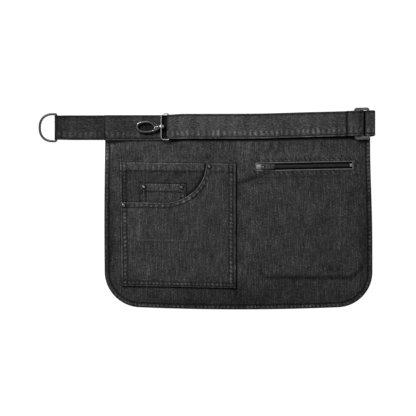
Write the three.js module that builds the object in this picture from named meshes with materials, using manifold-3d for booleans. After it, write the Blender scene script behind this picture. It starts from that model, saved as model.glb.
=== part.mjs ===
// Waist apron of washed black denim with a belt strap, shown lying on its back with the front up.
// Millimetres. +X runs along the waistband towards the buckle, +Y from hem to waist, +Z up.
// The pieces are placed from the middle of the waist seam, and the whole is centred at the end.

import * as THREE from 'three';
import { mergeVertices } from 'three/addons/utils/BufferGeometryUtils.js';
import Module from 'manifold-3d';

const wasm = await Module();
wasm.setup();

// Cloth thicknesses and clearances
const gap = 0.3; // between pieces that touch
const panelThick = 1.1;
const hemExtra = 0.45; // that the turned hem adds above and below the panel
const pocketThick = 1.1;
const bagThick = 0.9;
const tapeThick = 0.8;
const bandWall = 1.2;
const strapThick = 1.5;

// Waistband, a folded strip that takes the panel's top edge and both straps' ends
const bandLength = 531;
const bandHeight = 50.4;
const bandRise = 7; // that the buckle end climbs
const riseStart = 0; // where the climb begins
const tuckPanel = 12; // panel inside the waistband
const tuckStrap = 13; // strap inside the waistband's ends

// Panel
const panelWidth = 530.4;
const panelDrop = 338.8; // waist seam to the lowest point of the hem
const panelShift = 1.9; // of the panel's middle towards the buckle
const sideFlare = 4.6; // that the right edge moves out on its way down
const flareDrop = 210; // below the waist seam, where it has moved out fully
const sideBow = 1.8; // of the left edge
const hemBow = 8; // that the bottom edge climbs from its middle to its corners
const cornerRadius = 68;
const hemWidth = 10.5;
const hemStart = 1.5; // below the waist seam, where the side hems begin
const waistRamp = { from: 28, to: 4 }; // below the waist seam, where the panel climbs into the waistband
const creaseEnd = { from: 20, to: 6 }; // below the waist seam, where the creases die out

// Patch pocket with a scooped opening, and the coin pocket behind the scoop
const pocketWidth = 230.8;
const pocketTaper = 3.4; // that the pocket narrows towards its foot, all at its left side
const pocketLength = 246.4;
const pocketFromLeft = 31; // left edge of the panel to the pocket
const pocketFromWaist = 44.4;
const pocketDroop = 3; // that the pocket's right side hangs lower than its left
const scoopDepth = 80;
const scoopWidth = 172; // left edge of the pocket to the scoop's upper end
const scoopRound = 88; // width of the scoop's round stretch
const scoopLift = 1.4; // that the opening stands off at its steep end
const scoopLiftRun = 30; // over which the opening settles back on the pocket
const coinWidth = 90.6;
const coinLength = 111;
const coinFromLeft = 40.2;
const coinFromTop = 42;
const coinEdge = 3; // that the front stays lifted past the coin pocket

// Zipped pocket
const zipLength = 192;
const zipHeight = 13.4;
const zipFromMiddle = 135.5; // middle of the waistband to the middle of the zip
const zipFromWaist = 51.7;
const zipTurn = 1.15; // degrees
const tapeWidth = 14;
const tapeBeyond = 8; // tape behind the panel past each end of the opening
const chainWidth = 5.8;
const chainThick = 1.6;
const toothPitch = 4;
const bagWidth = 215;
const bagLength = 242;
const bagFromMiddle = 143;
const bagFromWaist = 31.6;
const bagCorner = 34;

// Zip slider, its pull and the end stop
const zipSliderLength = 14.6;
const zipSliderWidth = 9.8;
const zipSliderPlate = 1.2;
const bridgeLength = 8.4;
const bridgeWidth = 2.4;
const bridgeHeight = 3.4;
const bridgeWall = 1.1;
const zipSideWall = 1.1; // of the slider's turned-down sides
const zipSideInset = 2.6; // slider's end to its turned-down sides
const pullLength = 26.6; // from its hinge
const pullWidth = 10.8;
const pullThick = 1.4;
const pullDroop = 1.5; // degrees, at rest
const pullBar = 1.3;
const pullRib = { width: 1.6, height: 0.45, inset: 1.3 };
const stopLength = 3.6;
const stopHeight = 6;
const stopThick = 0.8;
const stopRoom = 1.4; // opening's end to the stop
const chainRoom = 2; // opening's end to the first tooth
const tapeSplit = 1; // between the two tapes, under the chain

// Rivets
const rivetRadius = 3;
const rivetHeight = 1.3;
const rivetInset = 5.8; // from the edges that the rivets hold
const coinRivetInset = 9; // from the coin pocket's right edge

// Straps and their hardware
const strapWidth = 49.8;
const strapPinch = 1.4; // that the strap narrows at the rings that it folds round
const pinchRun = 30; // over which it is back at its full width
const tuckNarrow = 6.4; // that a strap's tucked end is narrower
const tuckShare = 0.6; // of the space below a strap's tucked end that the panel's notched end fills
const beltLift = 2.7; // that the belt strap lies above the waistband's middle
const leftReach = 99; // waistband's end to the fold round the D-ring
const leftFoldBack = 17;
const foldReach = 11.2; // that the belt strap's fold passes the waistband's end
const tuckRelease = { width: 11, lift: 21 }; // run over which a strap leaves its tucked width and height
const leftDrop = { from: 4, to: 26 }; // past the waistband's end, where the left strap comes down
const layerStagger = 0.9; // between the climbs of strap layers that lie on each other
const barFall = 10; // run over which the strap comes down beside the buckle
const eyeRun = { under: 26, over: 24 }; // over which the strap comes to lie flat beside the eye
const ringWire = 3.8;
const ringHeight = 58;
const ringDepth = 35.5; // bar's middle to the outside of the round side
const ringFullness = 2.3; // exponent of the round side, 2 being an ellipse
const ringCorner = 3.4;
const buckleLength = 31.2;
const buckleHeight = 63.8;
const buckleThick = 2;
const buckleBar = 3.6;
const buckleMiddleBar = 4;
const buckleCorner = 5;
const slotCorner = 1.2;
const buckleInset = 15.4; // middle bar to the waistband's end
const buckleDrop = 1.1; // that the buckle's middle sits below the strap's
const slotRoom = 2; // strap width to slot height
const slotDrop = 0.5; // that the slots' middle sits below the strap's
const strapEndRun = 30.8; // middle bar to the sewn end of the strap
const hookFromEnd = 129.1; // waistband's left end to the swivel eye's bar in the strap's fold
const eyeDrop = 1.2; // that the strap's fold at the eye sits below the strap's middle

// Swivel eye, snap hook and gate
const eyeWire = 2.6;
const eyeReach = 14.7; // bar to bar
const eyeCorner = 5; // of the two outer corners
const eyeBend = 1.56; // of the two corners in the strap's fold
const bossRadius = 4;
const bossLength = 4.4;
const shankRadius = 1.2;
const headRadius = 4.2;
const headLength = 4.4;
const hookLength = 48;
const hookWidth = 24.4;
const hookWire = 4.4;
const gateWire = 3.6;
const gateReach = 24.6; // pivot to the gate's tip, whose end and the nose's follow this arc
const leverWire = 3;
const hubThick = 2.6;
const hubRadius = 2.9;
const pinRadius = 1;
const cheekThick = 6; // the hook's root across both cheeks
const headClearance = 0.2; // hook's head to the waistband, beyond the gap

// How finely the pieces are divided
const panelStep = 27;
const hemStep = 24;
const bandStep = 36;
const strapStep = 60;
const pocketStep = 20;
const coinStep = 18;
const cutDepth = 20; // of a cut that goes right through
const overlap = 2; // of a shank or bore past what it joins or cuts

// Heights in the stack above the surface that the apron lies on
const cavity = strapThick + 2 * gap;
const bandThick = 2 * bandWall + cavity;
const bandMiddle = bandWall + cavity / 2;
const layerStep = strapThick + gap;
const lowStrap = bandThick + gap + strapThick / 2;
const highStrap = lowStrap + layerStep;
const endStrap = highStrap + layerStep;
const buckleLevel = highStrap + strapThick / 2 + gap + buckleThick / 2;
const overBuckle = buckleLevel + buckleThick / 2 + gap + strapThick / 2;
const eyeFold = eyeWire / 2 + gap + strapThick / 2;
const eyeLevel = bandThick + gap + headRadius + headClearance;
const ringFold = ringWire / 2 + gap + strapThick / 2;
const ringLevel = strapThick / 2 + ringFold;

// Gentle creases of the panel, as shares of its width and drop from the middle of the waist seam,
// with their direction in degrees and their half length, half width and rise in millimetres.
const creases = [
  { across: 0.055, down: 0.215, turn: 24, long: 30, wide: 11, rise: 1.1 },
  { across: 0.045, down: 0.07, turn: 88, long: 26, wide: 10, rise: 0.8 },
  { across: 0.27, down: 0.6, turn: 75, long: 90, wide: 55, rise: 1.4 },
  { across: -0.22, down: 0.93, turn: 2, long: 110, wide: 12, rise: 0.9 },
  { across: 0.48, down: 0.42, turn: 86, long: 70, wide: 12, rise: 1.2 },
  { across: 0.44, down: 0.9, turn: 40, long: 34, wide: 16, rise: 1.6 },
  { across: -0.47, down: 0.3, turn: 92, long: 60, wide: 10, rise: 0.9 },
  { across: 0.16, down: 0.93, turn: -3, long: 70, wide: 11, rise: 1 },
];

// Snap hook's arm, its gate and the gate's lever, as shares of the hook's length and width
const armPath = [
  { along: 0.19, side: -0.28 },
  { along: 0.28, side: -0.34 },
  { along: 0.49, side: -0.41 },
  { along: 0.7, side: -0.4 },
  { along: 0.86, side: -0.3 },
  { along: 0.95, side: -0.06 },
  { along: 0.92, side: 0.17 },
  { along: 0.8, side: 0.33 },
  { along: 0.6, side: 0.4 },
];
const gatePivot = { along: 0.17, side: -0.09 };
const gatePath = [
  { along: 0.225, side: 0.03 },
  { along: 0.28, side: 0.15 },
  { along: 0.39, side: 0.32 },
  { along: 0.53, side: 0.4 },
  { along: 0.64, side: 0.405 },
];
const leverPath = [
  { along: 0.105, side: 0.078 },
  { along: 0.16, side: 0.18 },
  { along: 0.238, side: 0.311 },
];
const gateSlot = [
  { along: 0.32, side: -0.225 },
  { along: 0.072, side: -0.225 },
  { along: 0.072, side: 0.3 },
  { along: 0.32, side: 0.3 },
];
const cheekOutline = [
  { along: 0, side: 0.11 },
  { along: 0, side: -0.13 },
  { along: 0.1, side: -0.27 },
  { along: 0.25, side: -0.38 },
  { along: 0.27, side: -0.22 },
  { along: 0.238, side: -0.1 },
  { along: 0.19, side: 0.02 },
  { along: 0.13, side: 0.01 },
  { along: 0.095, side: -0.03 },
  { along: 0.054, side: 0.04 },
];

const denimBlack = new THREE.MeshStandardMaterial({ color: 0x343536, roughness: 0.93, metalness: 0 });
const denimBand = new THREE.MeshStandardMaterial({ color: 0x383939, roughness: 0.92, metalness: 0 });
const lining = new THREE.MeshStandardMaterial({ color: 0x1c1c1d, roughness: 0.95, metalness: 0 });
const zipBlack = new THREE.MeshStandardMaterial({ color: 0x0c0c0d, roughness: 0.6, metalness: 0 });
const gunmetal = new THREE.MeshStandardMaterial({ color: 0x4b4b4e, roughness: 0.35, metalness: 0.9 });
const buckleSteel = new THREE.MeshStandardMaterial({ color: 0x86868a, roughness: 0.38, metalness: 0.9 });

const flatTurn = Math.PI / 2;
const apron = new THREE.Group();

function addPiece(parent, name, geometry, material) {
  const piece = new THREE.Mesh(geometry, material);
  piece.name = name;
  parent.add(piece);
  return piece;
}

function smooth(from, to, value) {
  return THREE.MathUtils.smoothstep(value, from, to);
}

// Solids join and cut through these two.
function solidOf(geometry) {
  const bare = geometry.clone();
  bare.deleteAttribute('normal');
  bare.deleteAttribute('uv');
  const merged = mergeVertices(bare, 1e-3);
  const vertProperties = new Float32Array(merged.attributes.position.array);
  const triVerts = new Uint32Array(merged.index.array);
  return new wasm.Manifold(new wasm.Mesh({ numProp: 3, vertProperties, triVerts }));
}

function geometryOf(solid) {
  const mesh = solid.getMesh();
  const geometry = new THREE.BufferGeometry();
  geometry.setAttribute('position', new THREE.BufferAttribute(mesh.vertProperties, 3));
  geometry.setIndex(new THREE.BufferAttribute(mesh.triVerts, 1));
  geometry.computeVertexNormals();
  return geometry;
}

// A closed sheet from a grid: place(u, v) gives each grid point's x, y, low and high.
// Rows run downwards, so the front faces up.
function sheetSolid(us, vs, place) {
  const points = vs.map((v) => us.map((u) => place(u, v)));
  const positions = [];
  for (const level of ['low', 'high']) {
    for (const row of points) {
      for (const point of row) {
        positions.push(point.x, point.y, point[level]);
      }
    }
  }
  const across = us.length;
  const layer = across * vs.length;
  const index = [];
  const quad = (a, b, c, d) => index.push(a, b, c, a, c, d);
  for (let row = 0; row < vs.length - 1; row += 1) {
    for (let column = 0; column < across - 1; column += 1) {
      const a = row * across + column;
      const b = a + across;
      quad(a, a + 1, b + 1, b);
      quad(layer + a, layer + b, layer + b + 1, layer + a + 1);
    }
    const left = row * across;
    const right = left + across - 1;
    quad(left, left + across, layer + left + across, layer + left);
    quad(right + across, right, layer + right, layer + right + across);
  }
  for (let column = 0; column < across - 1; column += 1) {
    const foot = (vs.length - 1) * across + column;
    quad(column + 1, column, layer + column, layer + column + 1);
    quad(foot, foot + 1, layer + foot + 1, layer + foot);
  }
  const geometry = new THREE.BufferGeometry();
  geometry.setAttribute('position', new THREE.Float32BufferAttribute(positions, 3));
  geometry.setIndex(index);
  geometry.computeVertexNormals();
  return geometry;
}

// Grid lines from one value to another, at most a step apart, through every line that is kept.
function gridLines(from, to, step, kept = []) {
  const stops = [from, ...kept.filter((line) => line > from && line < to), to].sort((a, b) => a - b);
  const lines = [];
  for (let i = 0; i < stops.length - 1; i += 1) {
    const parts = Math.max(1, Math.ceil((stops[i + 1] - stops[i]) / step));
    for (let part = 0; part < parts; part += 1) {
      lines.push(stops[i] + ((stops[i + 1] - stops[i]) * part) / parts);
    }
  }
  lines.push(to);
  return lines;
}

// A loft through rings of equal counts, capped by fans unless it closes on itself.
function loftSolid(rings, closed = false) {
  const sides = rings[0].length;
  const positions = rings.flat(2);
  const index = [];
  const spans = closed ? rings.length : rings.length - 1;
  for (let ring = 0; ring < spans; ring += 1) {
    const here = ring * sides;
    const next = ((ring + 1) % rings.length) * sides;
    for (let side = 0; side < sides; side += 1) {
      const turn = (side + 1) % sides;
      index.push(here + side, here + turn, next + turn, here + side, next + turn, next + side);
    }
  }
  if (!closed) {
    const last = (rings.length - 1) * sides;
    for (let side = 1; side < sides - 1; side += 1) {
      index.push(0, side + 1, side, last, last + side, last + side + 1);
    }
  }
  const geometry = new THREE.BufferGeometry();
  geometry.setAttribute('position', new THREE.Float32BufferAttribute(positions, 3));
  geometry.setIndex(index);
  geometry.computeVertexNormals();
  return geometry;
}

// A wire that closes on itself, round a flat loop of points that runs counter-clockwise.
function wireLoop(points, wire, sides = 8) {
  const rings = points.map((point, i) => {
    const before = points[(i + points.length - 1) % points.length];
    const after = points[(i + 1) % points.length];
    const along = new THREE.Vector2(after.x - before.x, after.y - before.y).normalize();
    const ring = [];
    for (let side = 0; side < sides; side += 1) {
      const angle = (-2 * Math.PI * side) / sides;
      const out = (wire / 2) * Math.cos(angle);
      ring.push([point.x + along.y * out, point.y - along.x * out, (wire / 2) * Math.sin(angle)]);
    }
    return ring;
  });
  return loftSolid(rings, true);
}

// A round wire along a smooth open path in the plane of the hook
function wireAlong(points, wire, steps, sides = 8) {
  const corners = [];
  for (let side = 0; side < sides; side += 1) {
    const angle = (2 * Math.PI * (side + 0.5)) / sides;
    corners.push(new THREE.Vector2((wire / 2) * Math.cos(angle), (wire / 2) * Math.sin(angle)));
  }
  const section = new THREE.Shape(corners);
  const extrudePath = new THREE.CatmullRomCurve3(points.map((p) => new THREE.Vector3(p.x, p.y, 0)));
  return new THREE.ExtrudeGeometry(section, { steps, extrudePath, bevelEnabled: false });
}

// How far the waist climbs at a place along it
function climb(x) {
  const run = bandLength / 2 + foldReach - riseStart;
  const share = Math.max(0, (x - riseStart) / run);
  const easing = 0.2;
  const eased = share < easing ? (share * share) / (2 * easing) : share - easing / 2;
  return (bandRise * eased) / (1 - easing / 2);
}

function climbSlope(x) {
  return Math.atan(climb(x + 0.5) - climb(x - 0.5));
}

function liftAlongWaist(geometry) {
  const places = geometry.attributes.position;
  for (let i = 0; i < places.count; i += 1) {
    places.setY(i, places.getY(i) + climb(places.getX(i)));
  }
  geometry.computeVertexNormals();
  return geometry;
}

// Panel outline
function leftEdge(y) {
  const share = THREE.MathUtils.clamp(-y / panelDrop, 0, 1);
  return panelShift - panelWidth / 2 - sideBow * Math.sin(Math.PI * share);
}

function rightEdge(y) {
  return panelShift + panelWidth / 2 + sideFlare * smooth(0, flareDrop, -y);
}

function bottomEdge(share) {
  const width = rightEdge(-panelDrop) - leftEdge(-panelDrop);
  const fromSide = Math.min(share, 1 - share) * width;
  const inCorner = Math.max(0, cornerRadius - fromSide);
  const corner = cornerRadius - Math.sqrt(Math.max(0, cornerRadius ** 2 - inCorner ** 2));
  const fromMiddle = 2 * share - 1;
  return -panelDrop + hemBow * fromMiddle ** 2 + (corner * (panelDrop - hemBow)) / panelDrop;
}

function panelPoint(share, drop) {
  const waist = tuckPanel + climb((share - 0.5) * panelWidth);
  const y = waist + (bottomEdge(share) - waist) * drop;
  return { x: THREE.MathUtils.lerp(leftEdge(y), rightEdge(y), share), y };
}

// Rise of a flat rectangle that lies behind the cloth, full inside it and easing off outside
function raisedBy(x, y, box, ease) {
  const outX = Math.max(box.left - x, x - box.right, 0);
  const outY = Math.max(box.bottom - y, y - box.top, 0);
  return 1 - smooth(0, ease, Math.max(outX, outY));
}

const zipSlope = THREE.MathUtils.degToRad(zipTurn);
const zipMiddleY = -zipFromWaist;
const seatMargin = 8; // that a rise stays full past the edge of what lies behind
const easeRun = 12;
const bagArea = {
  left: bagFromMiddle - bagWidth / 2 - seatMargin,
  right: bagFromMiddle + bagWidth / 2 + seatMargin,
  top: -bagFromWaist + seatMargin,
  bottom: -bagFromWaist - bagLength - seatMargin,
};
const tapeArea = {
  left: zipFromMiddle - zipLength / 2 - tapeBeyond - seatMargin,
  right: zipFromMiddle + zipLength / 2 + tapeBeyond + seatMargin,
  top: zipMiddleY + tapeWidth + (zipLength / 2) * Math.sin(zipSlope) + seatMargin,
  bottom: zipMiddleY - tapeWidth - (zipLength / 2) * Math.sin(zipSlope) - seatMargin,
};
const bagTop = bagThick;
const tapeLow = bagTop + gap;
const tapeTop = tapeLow + tapeThick;

// Height of the panel's underside
function panelLow(x, y) {
  const waistLift = bandMiddle - panelThick / 2 - hemExtra;
  const overBag = bagTop + gap - hemExtra;
  const overTape = tapeTop + gap - (bagTop + gap);
  const fromWaist = y - climb(x);
  const waist = waistLift * smooth(-waistRamp.from, -waistRamp.to, fromWaist);
  const bag = overBag * raisedBy(x, y, bagArea, easeRun);
  const tape = overTape * raisedBy(x, y, tapeArea, easeRun);
  const edge = 1 - raisedBy(x, y, tapeArea, 3 * easeRun);
  let crease = 0;
  for (const row of creases) {
    const turn = THREE.MathUtils.degToRad(row.turn);
    const dx = x - row.across * panelWidth;
    const dy = y + row.down * panelDrop;
    const along = (dx * Math.cos(turn) + dy * Math.sin(turn)) / row.long;
    const beside = (dy * Math.cos(turn) - dx * Math.sin(turn)) / row.wide;
    crease += row.rise * Math.exp(-along * along - beside * beside);
  }
  const free = edge * (1 - smooth(-creaseEnd.from, -creaseEnd.to, fromWaist));
  return hemExtra + Math.max(waist, bag + tape) + crease * free;
}

function panelTop(x, y) {
  return panelLow(x, y) + panelThick;
}

// The panel with its turned hem, open where the zip is let in
function makePanel() {
  const cornerShare = cornerRadius / panelWidth;
  const cornerTurns = [0, 14, 28, 42, 56, 72];
  const cornerColumns = cornerTurns.map((turn) => {
    return cornerShare * (1 - Math.cos(THREE.MathUtils.degToRad(turn)));
  });
  const keptColumns = [
    bagArea.left - easeRun,
    bagArea.left + seatMargin / 2,
    bagArea.right - seatMargin / 2,
  ].map((x) => (x - leftEdge(zipMiddleY)) / (rightEdge(zipMiddleY) - leftEdge(zipMiddleY)));
  const columns = [
    ...cornerColumns,
    ...gridLines(cornerShare, 1 - cornerShare, panelStep / panelWidth, keptColumns),
    ...cornerColumns.map((share) => 1 - share).reverse(),
  ];
  const waist = tuckPanel + climb(zipFromMiddle);
  const halfMargin = seatMargin / 2;
  const tapeRows = [tapeArea.top - halfMargin, tapeArea.bottom + halfMargin, tapeArea.bottom - easeRun];
  const rampRows = [1, 1 - waistRamp.to, -waistRamp.from / 2, 2 - waistRamp.from];
  const bagRows = [bagArea.bottom + halfMargin, bagArea.bottom - easeRun];
  const keptRows = [...rampRows, ...tapeRows, ...bagRows].map((y) => (waist - y) / (waist + panelDrop));
  const rows = gridLines(0, 1, panelStep / panelDrop, keptRows);
  const inset = 0.6; // of the cloth inside the hem's outer face
  const cloth = sheetSolid(columns, rows, (share, drop) => {
    const edge = panelPoint(share, drop);
    const x = THREE.MathUtils.clamp(edge.x, leftEdge(edge.y) + inset, rightEdge(edge.y) - inset);
    const y = drop === 1 ? edge.y + inset : edge.y;
    const low = panelLow(x, y);
    return { x, y, low, high: low + panelThick };
  });

  const hemTop = (tuckPanel + hemStart) / (tuckPanel - bottomEdge(0));
  const sideDrops = gridLines(hemTop, 1, hemStep / panelDrop);
  const outline = [
    ...sideDrops.map((drop) => panelPoint(0, drop)),
    ...columns.slice(1, -1).map((share) => panelPoint(share, 1)),
    ...sideDrops.map((drop) => panelPoint(1, drop)).reverse(),
  ];
  const hemRings = outline.map((point, i) => {
    const before = outline[Math.max(0, i - 1)];
    const after = outline[Math.min(outline.length - 1, i + 1)];
    const along = new THREE.Vector2(after.x - before.x, after.y - before.y).normalize();
    const inner = { x: point.x - along.y * hemWidth, y: point.y + along.x * hemWidth };
    const ring = [];
    for (const place of [point, inner]) {
      const low = panelLow(place.x, place.y) - hemExtra;
      const high = low + panelThick + 2 * hemExtra;
      const pair = [[place.x, place.y, low], [place.x, place.y, high]];
      ring.push(...(place === inner ? pair : pair.reverse()));
    }
    return ring;
  });
  const hem = loftSolid(hemRings);

  const opening = new THREE.BoxGeometry(zipLength, zipHeight, cutDepth);
  opening.rotateZ(zipSlope);
  opening.translate(zipFromMiddle, zipMiddleY, 0);
  let panel = solidOf(cloth).add(solidOf(hem)).subtract(solidOf(opening));
  // The tucked edge is notched at both ends, where the straps go in.
  const notchFoot = ((bandHeight - strapWidth + tuckNarrow) / 2) * tuckShare;
  const notchWidth = tuckStrap + gap;
  for (const side of [-1, 1]) {
    const notch = new THREE.BoxGeometry(2 * notchWidth, tuckPanel + bandRise, cutDepth);
    const foot = notchFoot + climb(side * bandLength / 2);
    notch.translate(side * bandLength / 2, foot + (tuckPanel + bandRise) / 2, 0);
    panel = panel.subtract(solidOf(notch));
  }
  return geometryOf(panel);
}

// Waistband: a strip folded over at the top, open at its foot for the panel and at both ends
function makeWaistband() {
  const section = new THREE.Shape();
  const foldRadius = bandThick / 2;
  const innerRadius = cavity / 2;
  section.moveTo(0, 0);
  section.lineTo(bandHeight - foldRadius, 0);
  section.absarc(bandHeight - foldRadius, foldRadius, foldRadius, -flatTurn, flatTurn, false);
  section.lineTo(0, bandThick);
  section.lineTo(0, bandThick - bandWall);
  section.lineTo(bandHeight - foldRadius, bandThick - bandWall);
  section.absarc(bandHeight - foldRadius, foldRadius, innerRadius, flatTurn, -flatTurn, true);
  section.lineTo(0, bandWall);
  section.closePath();
  const steps = Math.ceil(bandLength / bandStep);
  const geometry = new THREE.ExtrudeGeometry(section, {
    depth: bandLength,
    steps,
    curveSegments: 4,
    bevelEnabled: false,
  });
  // The section's first axis becomes +Y and its second +Z, and it runs along +X.
  geometry.applyMatrix4(new THREE.Matrix4().makeBasis(
    new THREE.Vector3(0, 1, 0),
    new THREE.Vector3(0, 0, 1),
    new THREE.Vector3(1, 0, 0),
  ));
  geometry.translate(-bandLength / 2, 0, 0);
  return liftAlongWaist(geometry);
}

// Stretches of a strap's side view
function bend(from, to, count = 6) {
  const points = [];
  for (let i = 0; i <= count; i += 1) {
    const share = i / count;
    const eased = (1 - Math.cos(Math.PI * share)) / 2;
    const x = THREE.MathUtils.lerp(from[0], to[0], share);
    points.push(new THREE.Vector2(x, THREE.MathUtils.lerp(from[1], to[1], eased)));
  }
  return points;
}

function fold(middle, radius, from, to, count = 8) {
  const points = [];
  for (let i = 0; i <= count; i += 1) {
    const angle = THREE.MathUtils.degToRad(from + ((to - from) * i) / count);
    const x = middle[0] + radius * Math.cos(angle);
    points.push(new THREE.Vector2(x, middle[1] + radius * Math.sin(angle)));
  }
  return points;
}

function run(from, to) {
  const count = Math.max(1, Math.ceil(Math.abs(to[0] - from[0]) / strapStep));
  const points = [];
  for (let i = 0; i <= count; i += 1) {
    points.push(new THREE.Vector2(...from).lerp(new THREE.Vector2(...to), i / count));
  }
  return points;
}

// A strap from its middle line in side view. Its edges follow across(point, distance), which gives
// the lower and the upper edge at a distance along the line from the tucked end.
function strapSolid(line, across) {
  const path = line.filter((point, i) => i === 0 || point.distanceTo(line[i - 1]) > 0.05);
  let distance = 0;
  const rings = path.map((point, i) => {
    const before = path[Math.max(0, i - 1)];
    const after = path[Math.min(path.length - 1, i + 1)];
    distance += point.distanceTo(before);
    const along = new THREE.Vector2().subVectors(after, before).normalize();
    const offX = (-along.y * strapThick) / 2;
    const offZ = (along.x * strapThick) / 2;
    const edges = across(point, distance);
    return [
      [point.x - offX, edges.low, point.y - offZ],
      [point.x - offX, edges.high, point.y - offZ],
      [point.x + offX, edges.high, point.y + offZ],
      [point.x + offX, edges.low, point.y + offZ],
    ];
  });
  return liftAlongWaist(loftSolid(rings));
}

// A strap's edges: narrow where it is tucked into the waistband, full beyond, pinched at its ring
function strapEdges(ringX, lift, drop) {
  return (point, distance) => {
    const out = distance - tuckStrap - 1;
    const tucked = 1 - smooth(0, tuckRelease.width, out);
    const near = 1 - smooth(0, pinchRun, Math.abs(point.x - ringX));
    const half = (strapWidth - strapPinch * near - tuckNarrow * tucked) / 2;
    const middle = bandHeight / 2 + lift * smooth(0, tuckRelease.lift, out) - drop * near;
    return { low: middle - half, high: middle + half };
  };
}

const bandEnd = bandLength / 2;
const strapMiddleY = bandHeight / 2;
const hookFromMiddle = hookFromEnd - bandEnd;
const beltMiddleY = strapMiddleY + beltLift;
const leftFoldX = -bandEnd - leftReach + ringFold + strapThick / 2;

// The short strap on the left: out of the waistband, round the D-ring's bar and back behind itself
function makeLeftStrap() {
  const foldEnd = leftFoldX + leftFoldBack;
  const front = strapThick * 1.5 + gap;
  const flat = strapThick / 2 + gap;
  const out = -bandEnd - leftDrop.from;
  const down = -bandEnd - leftDrop.to;
  const line = [
    ...run([-bandEnd + tuckStrap, bandMiddle], [out, bandMiddle]),
    ...bend([out, bandMiddle], [down, flat]),
    ...run([down, flat], [foldEnd + easeRun, flat]),
    ...bend([foldEnd + easeRun, flat], [foldEnd, front]),
    ...bend([foldEnd, front], [leftFoldX, ringLevel + ringFold]),
    ...fold([leftFoldX, ringLevel], ringFold, 90, 270),
    ...run([leftFoldX, strapThick / 2], [foldEnd, strapThick / 2]),
  ];
  return strapSolid(line, strapEdges(leftFoldX, 0, 0));
}

const buckleX = bandEnd - buckleInset;
const barIn = buckleLength / 2 - buckleBar; // middle bar to the inside of a side bar
const loopX = buckleX + buckleMiddleBar / 2;

// The belt strap: out of the waistband's right end, over the buckle's right bar, under its middle
// bar, over its left bar, along the waistband, round the swivel eye's bar, back on top of itself,
// round the buckle's middle bar and back to its sewn end.
function makeBeltStrap() {
  const turnRadius = (overBuckle - bandMiddle) / 2;
  const turnX = bandEnd + foldReach - turnRadius - strapThick / 2;
  const rightBar = buckleX + barIn - 0.6;
  const pastMiddle = buckleX + buckleMiddleBar / 2 + 2.2;
  const dip = buckleX - buckleMiddleBar / 2 - 1.2;
  const rise = buckleX - barIn + 0.9;
  const leftBar = buckleX - buckleLength / 2 - 0.7;
  const down = leftBar - barFall;
  const under = hookFromMiddle + eyeRun.under;
  const over = hookFromMiddle + eyeRun.over;
  const second = overBuckle + layerStep;
  const third = second + layerStep;
  const later = layerStagger;
  const last = 2 * layerStagger;
  const line = [
    ...run([bandEnd - tuckStrap, bandMiddle], [turnX, bandMiddle]),
    ...fold([turnX, bandMiddle + turnRadius], turnRadius, -90, 90, 10),
    ...run([turnX, overBuckle], [rightBar, overBuckle]),
    ...bend([rightBar, overBuckle], [pastMiddle, lowStrap], 8),
    ...run([pastMiddle, lowStrap], [dip, lowStrap]),
    ...bend([dip, lowStrap], [rise, overBuckle], 8),
    ...run([rise, overBuckle], [leftBar, overBuckle]),
    ...bend([leftBar, overBuckle], [down, lowStrap], 8),
    ...run([down, lowStrap], [under, lowStrap]),
    ...bend([under, lowStrap], [hookFromMiddle, eyeLevel - eyeFold]),
    ...fold([hookFromMiddle, eyeLevel], eyeFold, 270, 90),
    ...bend([hookFromMiddle, eyeLevel + eyeFold], [over, highStrap], 8),
    ...run([over, highStrap], [down - later, highStrap]),
    ...bend([down - later, highStrap], [leftBar - later, second], 8),
    ...run([leftBar - later, second], [rise + later, second]),
    ...bend([rise + later, second], [dip + later, highStrap], 8),
    ...run([dip + later, highStrap], [loopX, highStrap]),
    ...fold([loopX, buckleLevel], buckleLevel - highStrap, -90, 90),
    ...run([loopX, overBuckle], [dip + last, overBuckle]),
    ...bend([dip + last, overBuckle], [rise + last, third], 8),
    ...run([rise + last, third], [leftBar - last, third]),
    ...bend([leftBar - last, third], [down - last, endStrap], 8),
    ...run([down - last, endStrap], [buckleX - strapEndRun, endStrap]),
  ];
  return strapSolid(line, strapEdges(hookFromMiddle, beltLift, eyeDrop));
}

// Points of a rounded rectangle, counter-clockwise, with its corners as arcs
function roundedLoop(width, height, rightRadius, arcSteps, leftRadius = rightRadius) {
  const points = [];
  for (let corner = 0; corner < 4; corner += 1) {
    const signX = corner === 0 || corner === 3 ? 1 : -1;
    const signY = corner < 2 ? 1 : -1;
    const radius = signX > 0 ? rightRadius : leftRadius;
    for (let i = 0; i <= arcSteps; i += 1) {
      const angle = flatTurn * (corner + i / arcSteps);
      const x = signX * (width / 2 - radius) + radius * Math.cos(angle);
      const y = signY * (height / 2 - radius) + radius * Math.sin(angle);
      points.push(new THREE.Vector2(x, y));
    }
  }
  return points;
}

// D-ring: a straight bar at x = 0, two tight corners and a full round side towards -X
function makeRing() {
  const depth = ringDepth - ringWire / 2;
  const half = (ringHeight - ringWire) / 2;
  const cornerPoint = (angle, middleY) => new THREE.Vector2(
    ringCorner * (Math.cos(angle) - 1),
    middleY + ringCorner * Math.sin(angle),
  );
  const cornerSteps = 3;
  const points = [];
  for (let i = 0; i <= cornerSteps; i += 1) {
    points.push(cornerPoint((flatTurn * i) / cornerSteps, half - ringCorner));
  }
  const roundSteps = 20;
  const roundDepth = depth - 2 * ringCorner;
  for (let i = 1; i < roundSteps; i += 1) {
    const angle = flatTurn + (Math.PI * i) / roundSteps;
    const reach = Math.abs(Math.cos(angle)) ** (2 / ringFullness);
    const rise = Math.sign(Math.sin(angle)) * Math.abs(Math.sin(angle)) ** (2 / ringFullness);
    points.push(new THREE.Vector2(-2 * ringCorner - roundDepth * reach, half * rise));
  }
  for (let i = 0; i <= cornerSteps; i += 1) {
    points.push(cornerPoint(flatTurn * (i / cornerSteps - 1), ringCorner - half));
  }
  return wireLoop(points, ringWire);
}

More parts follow.
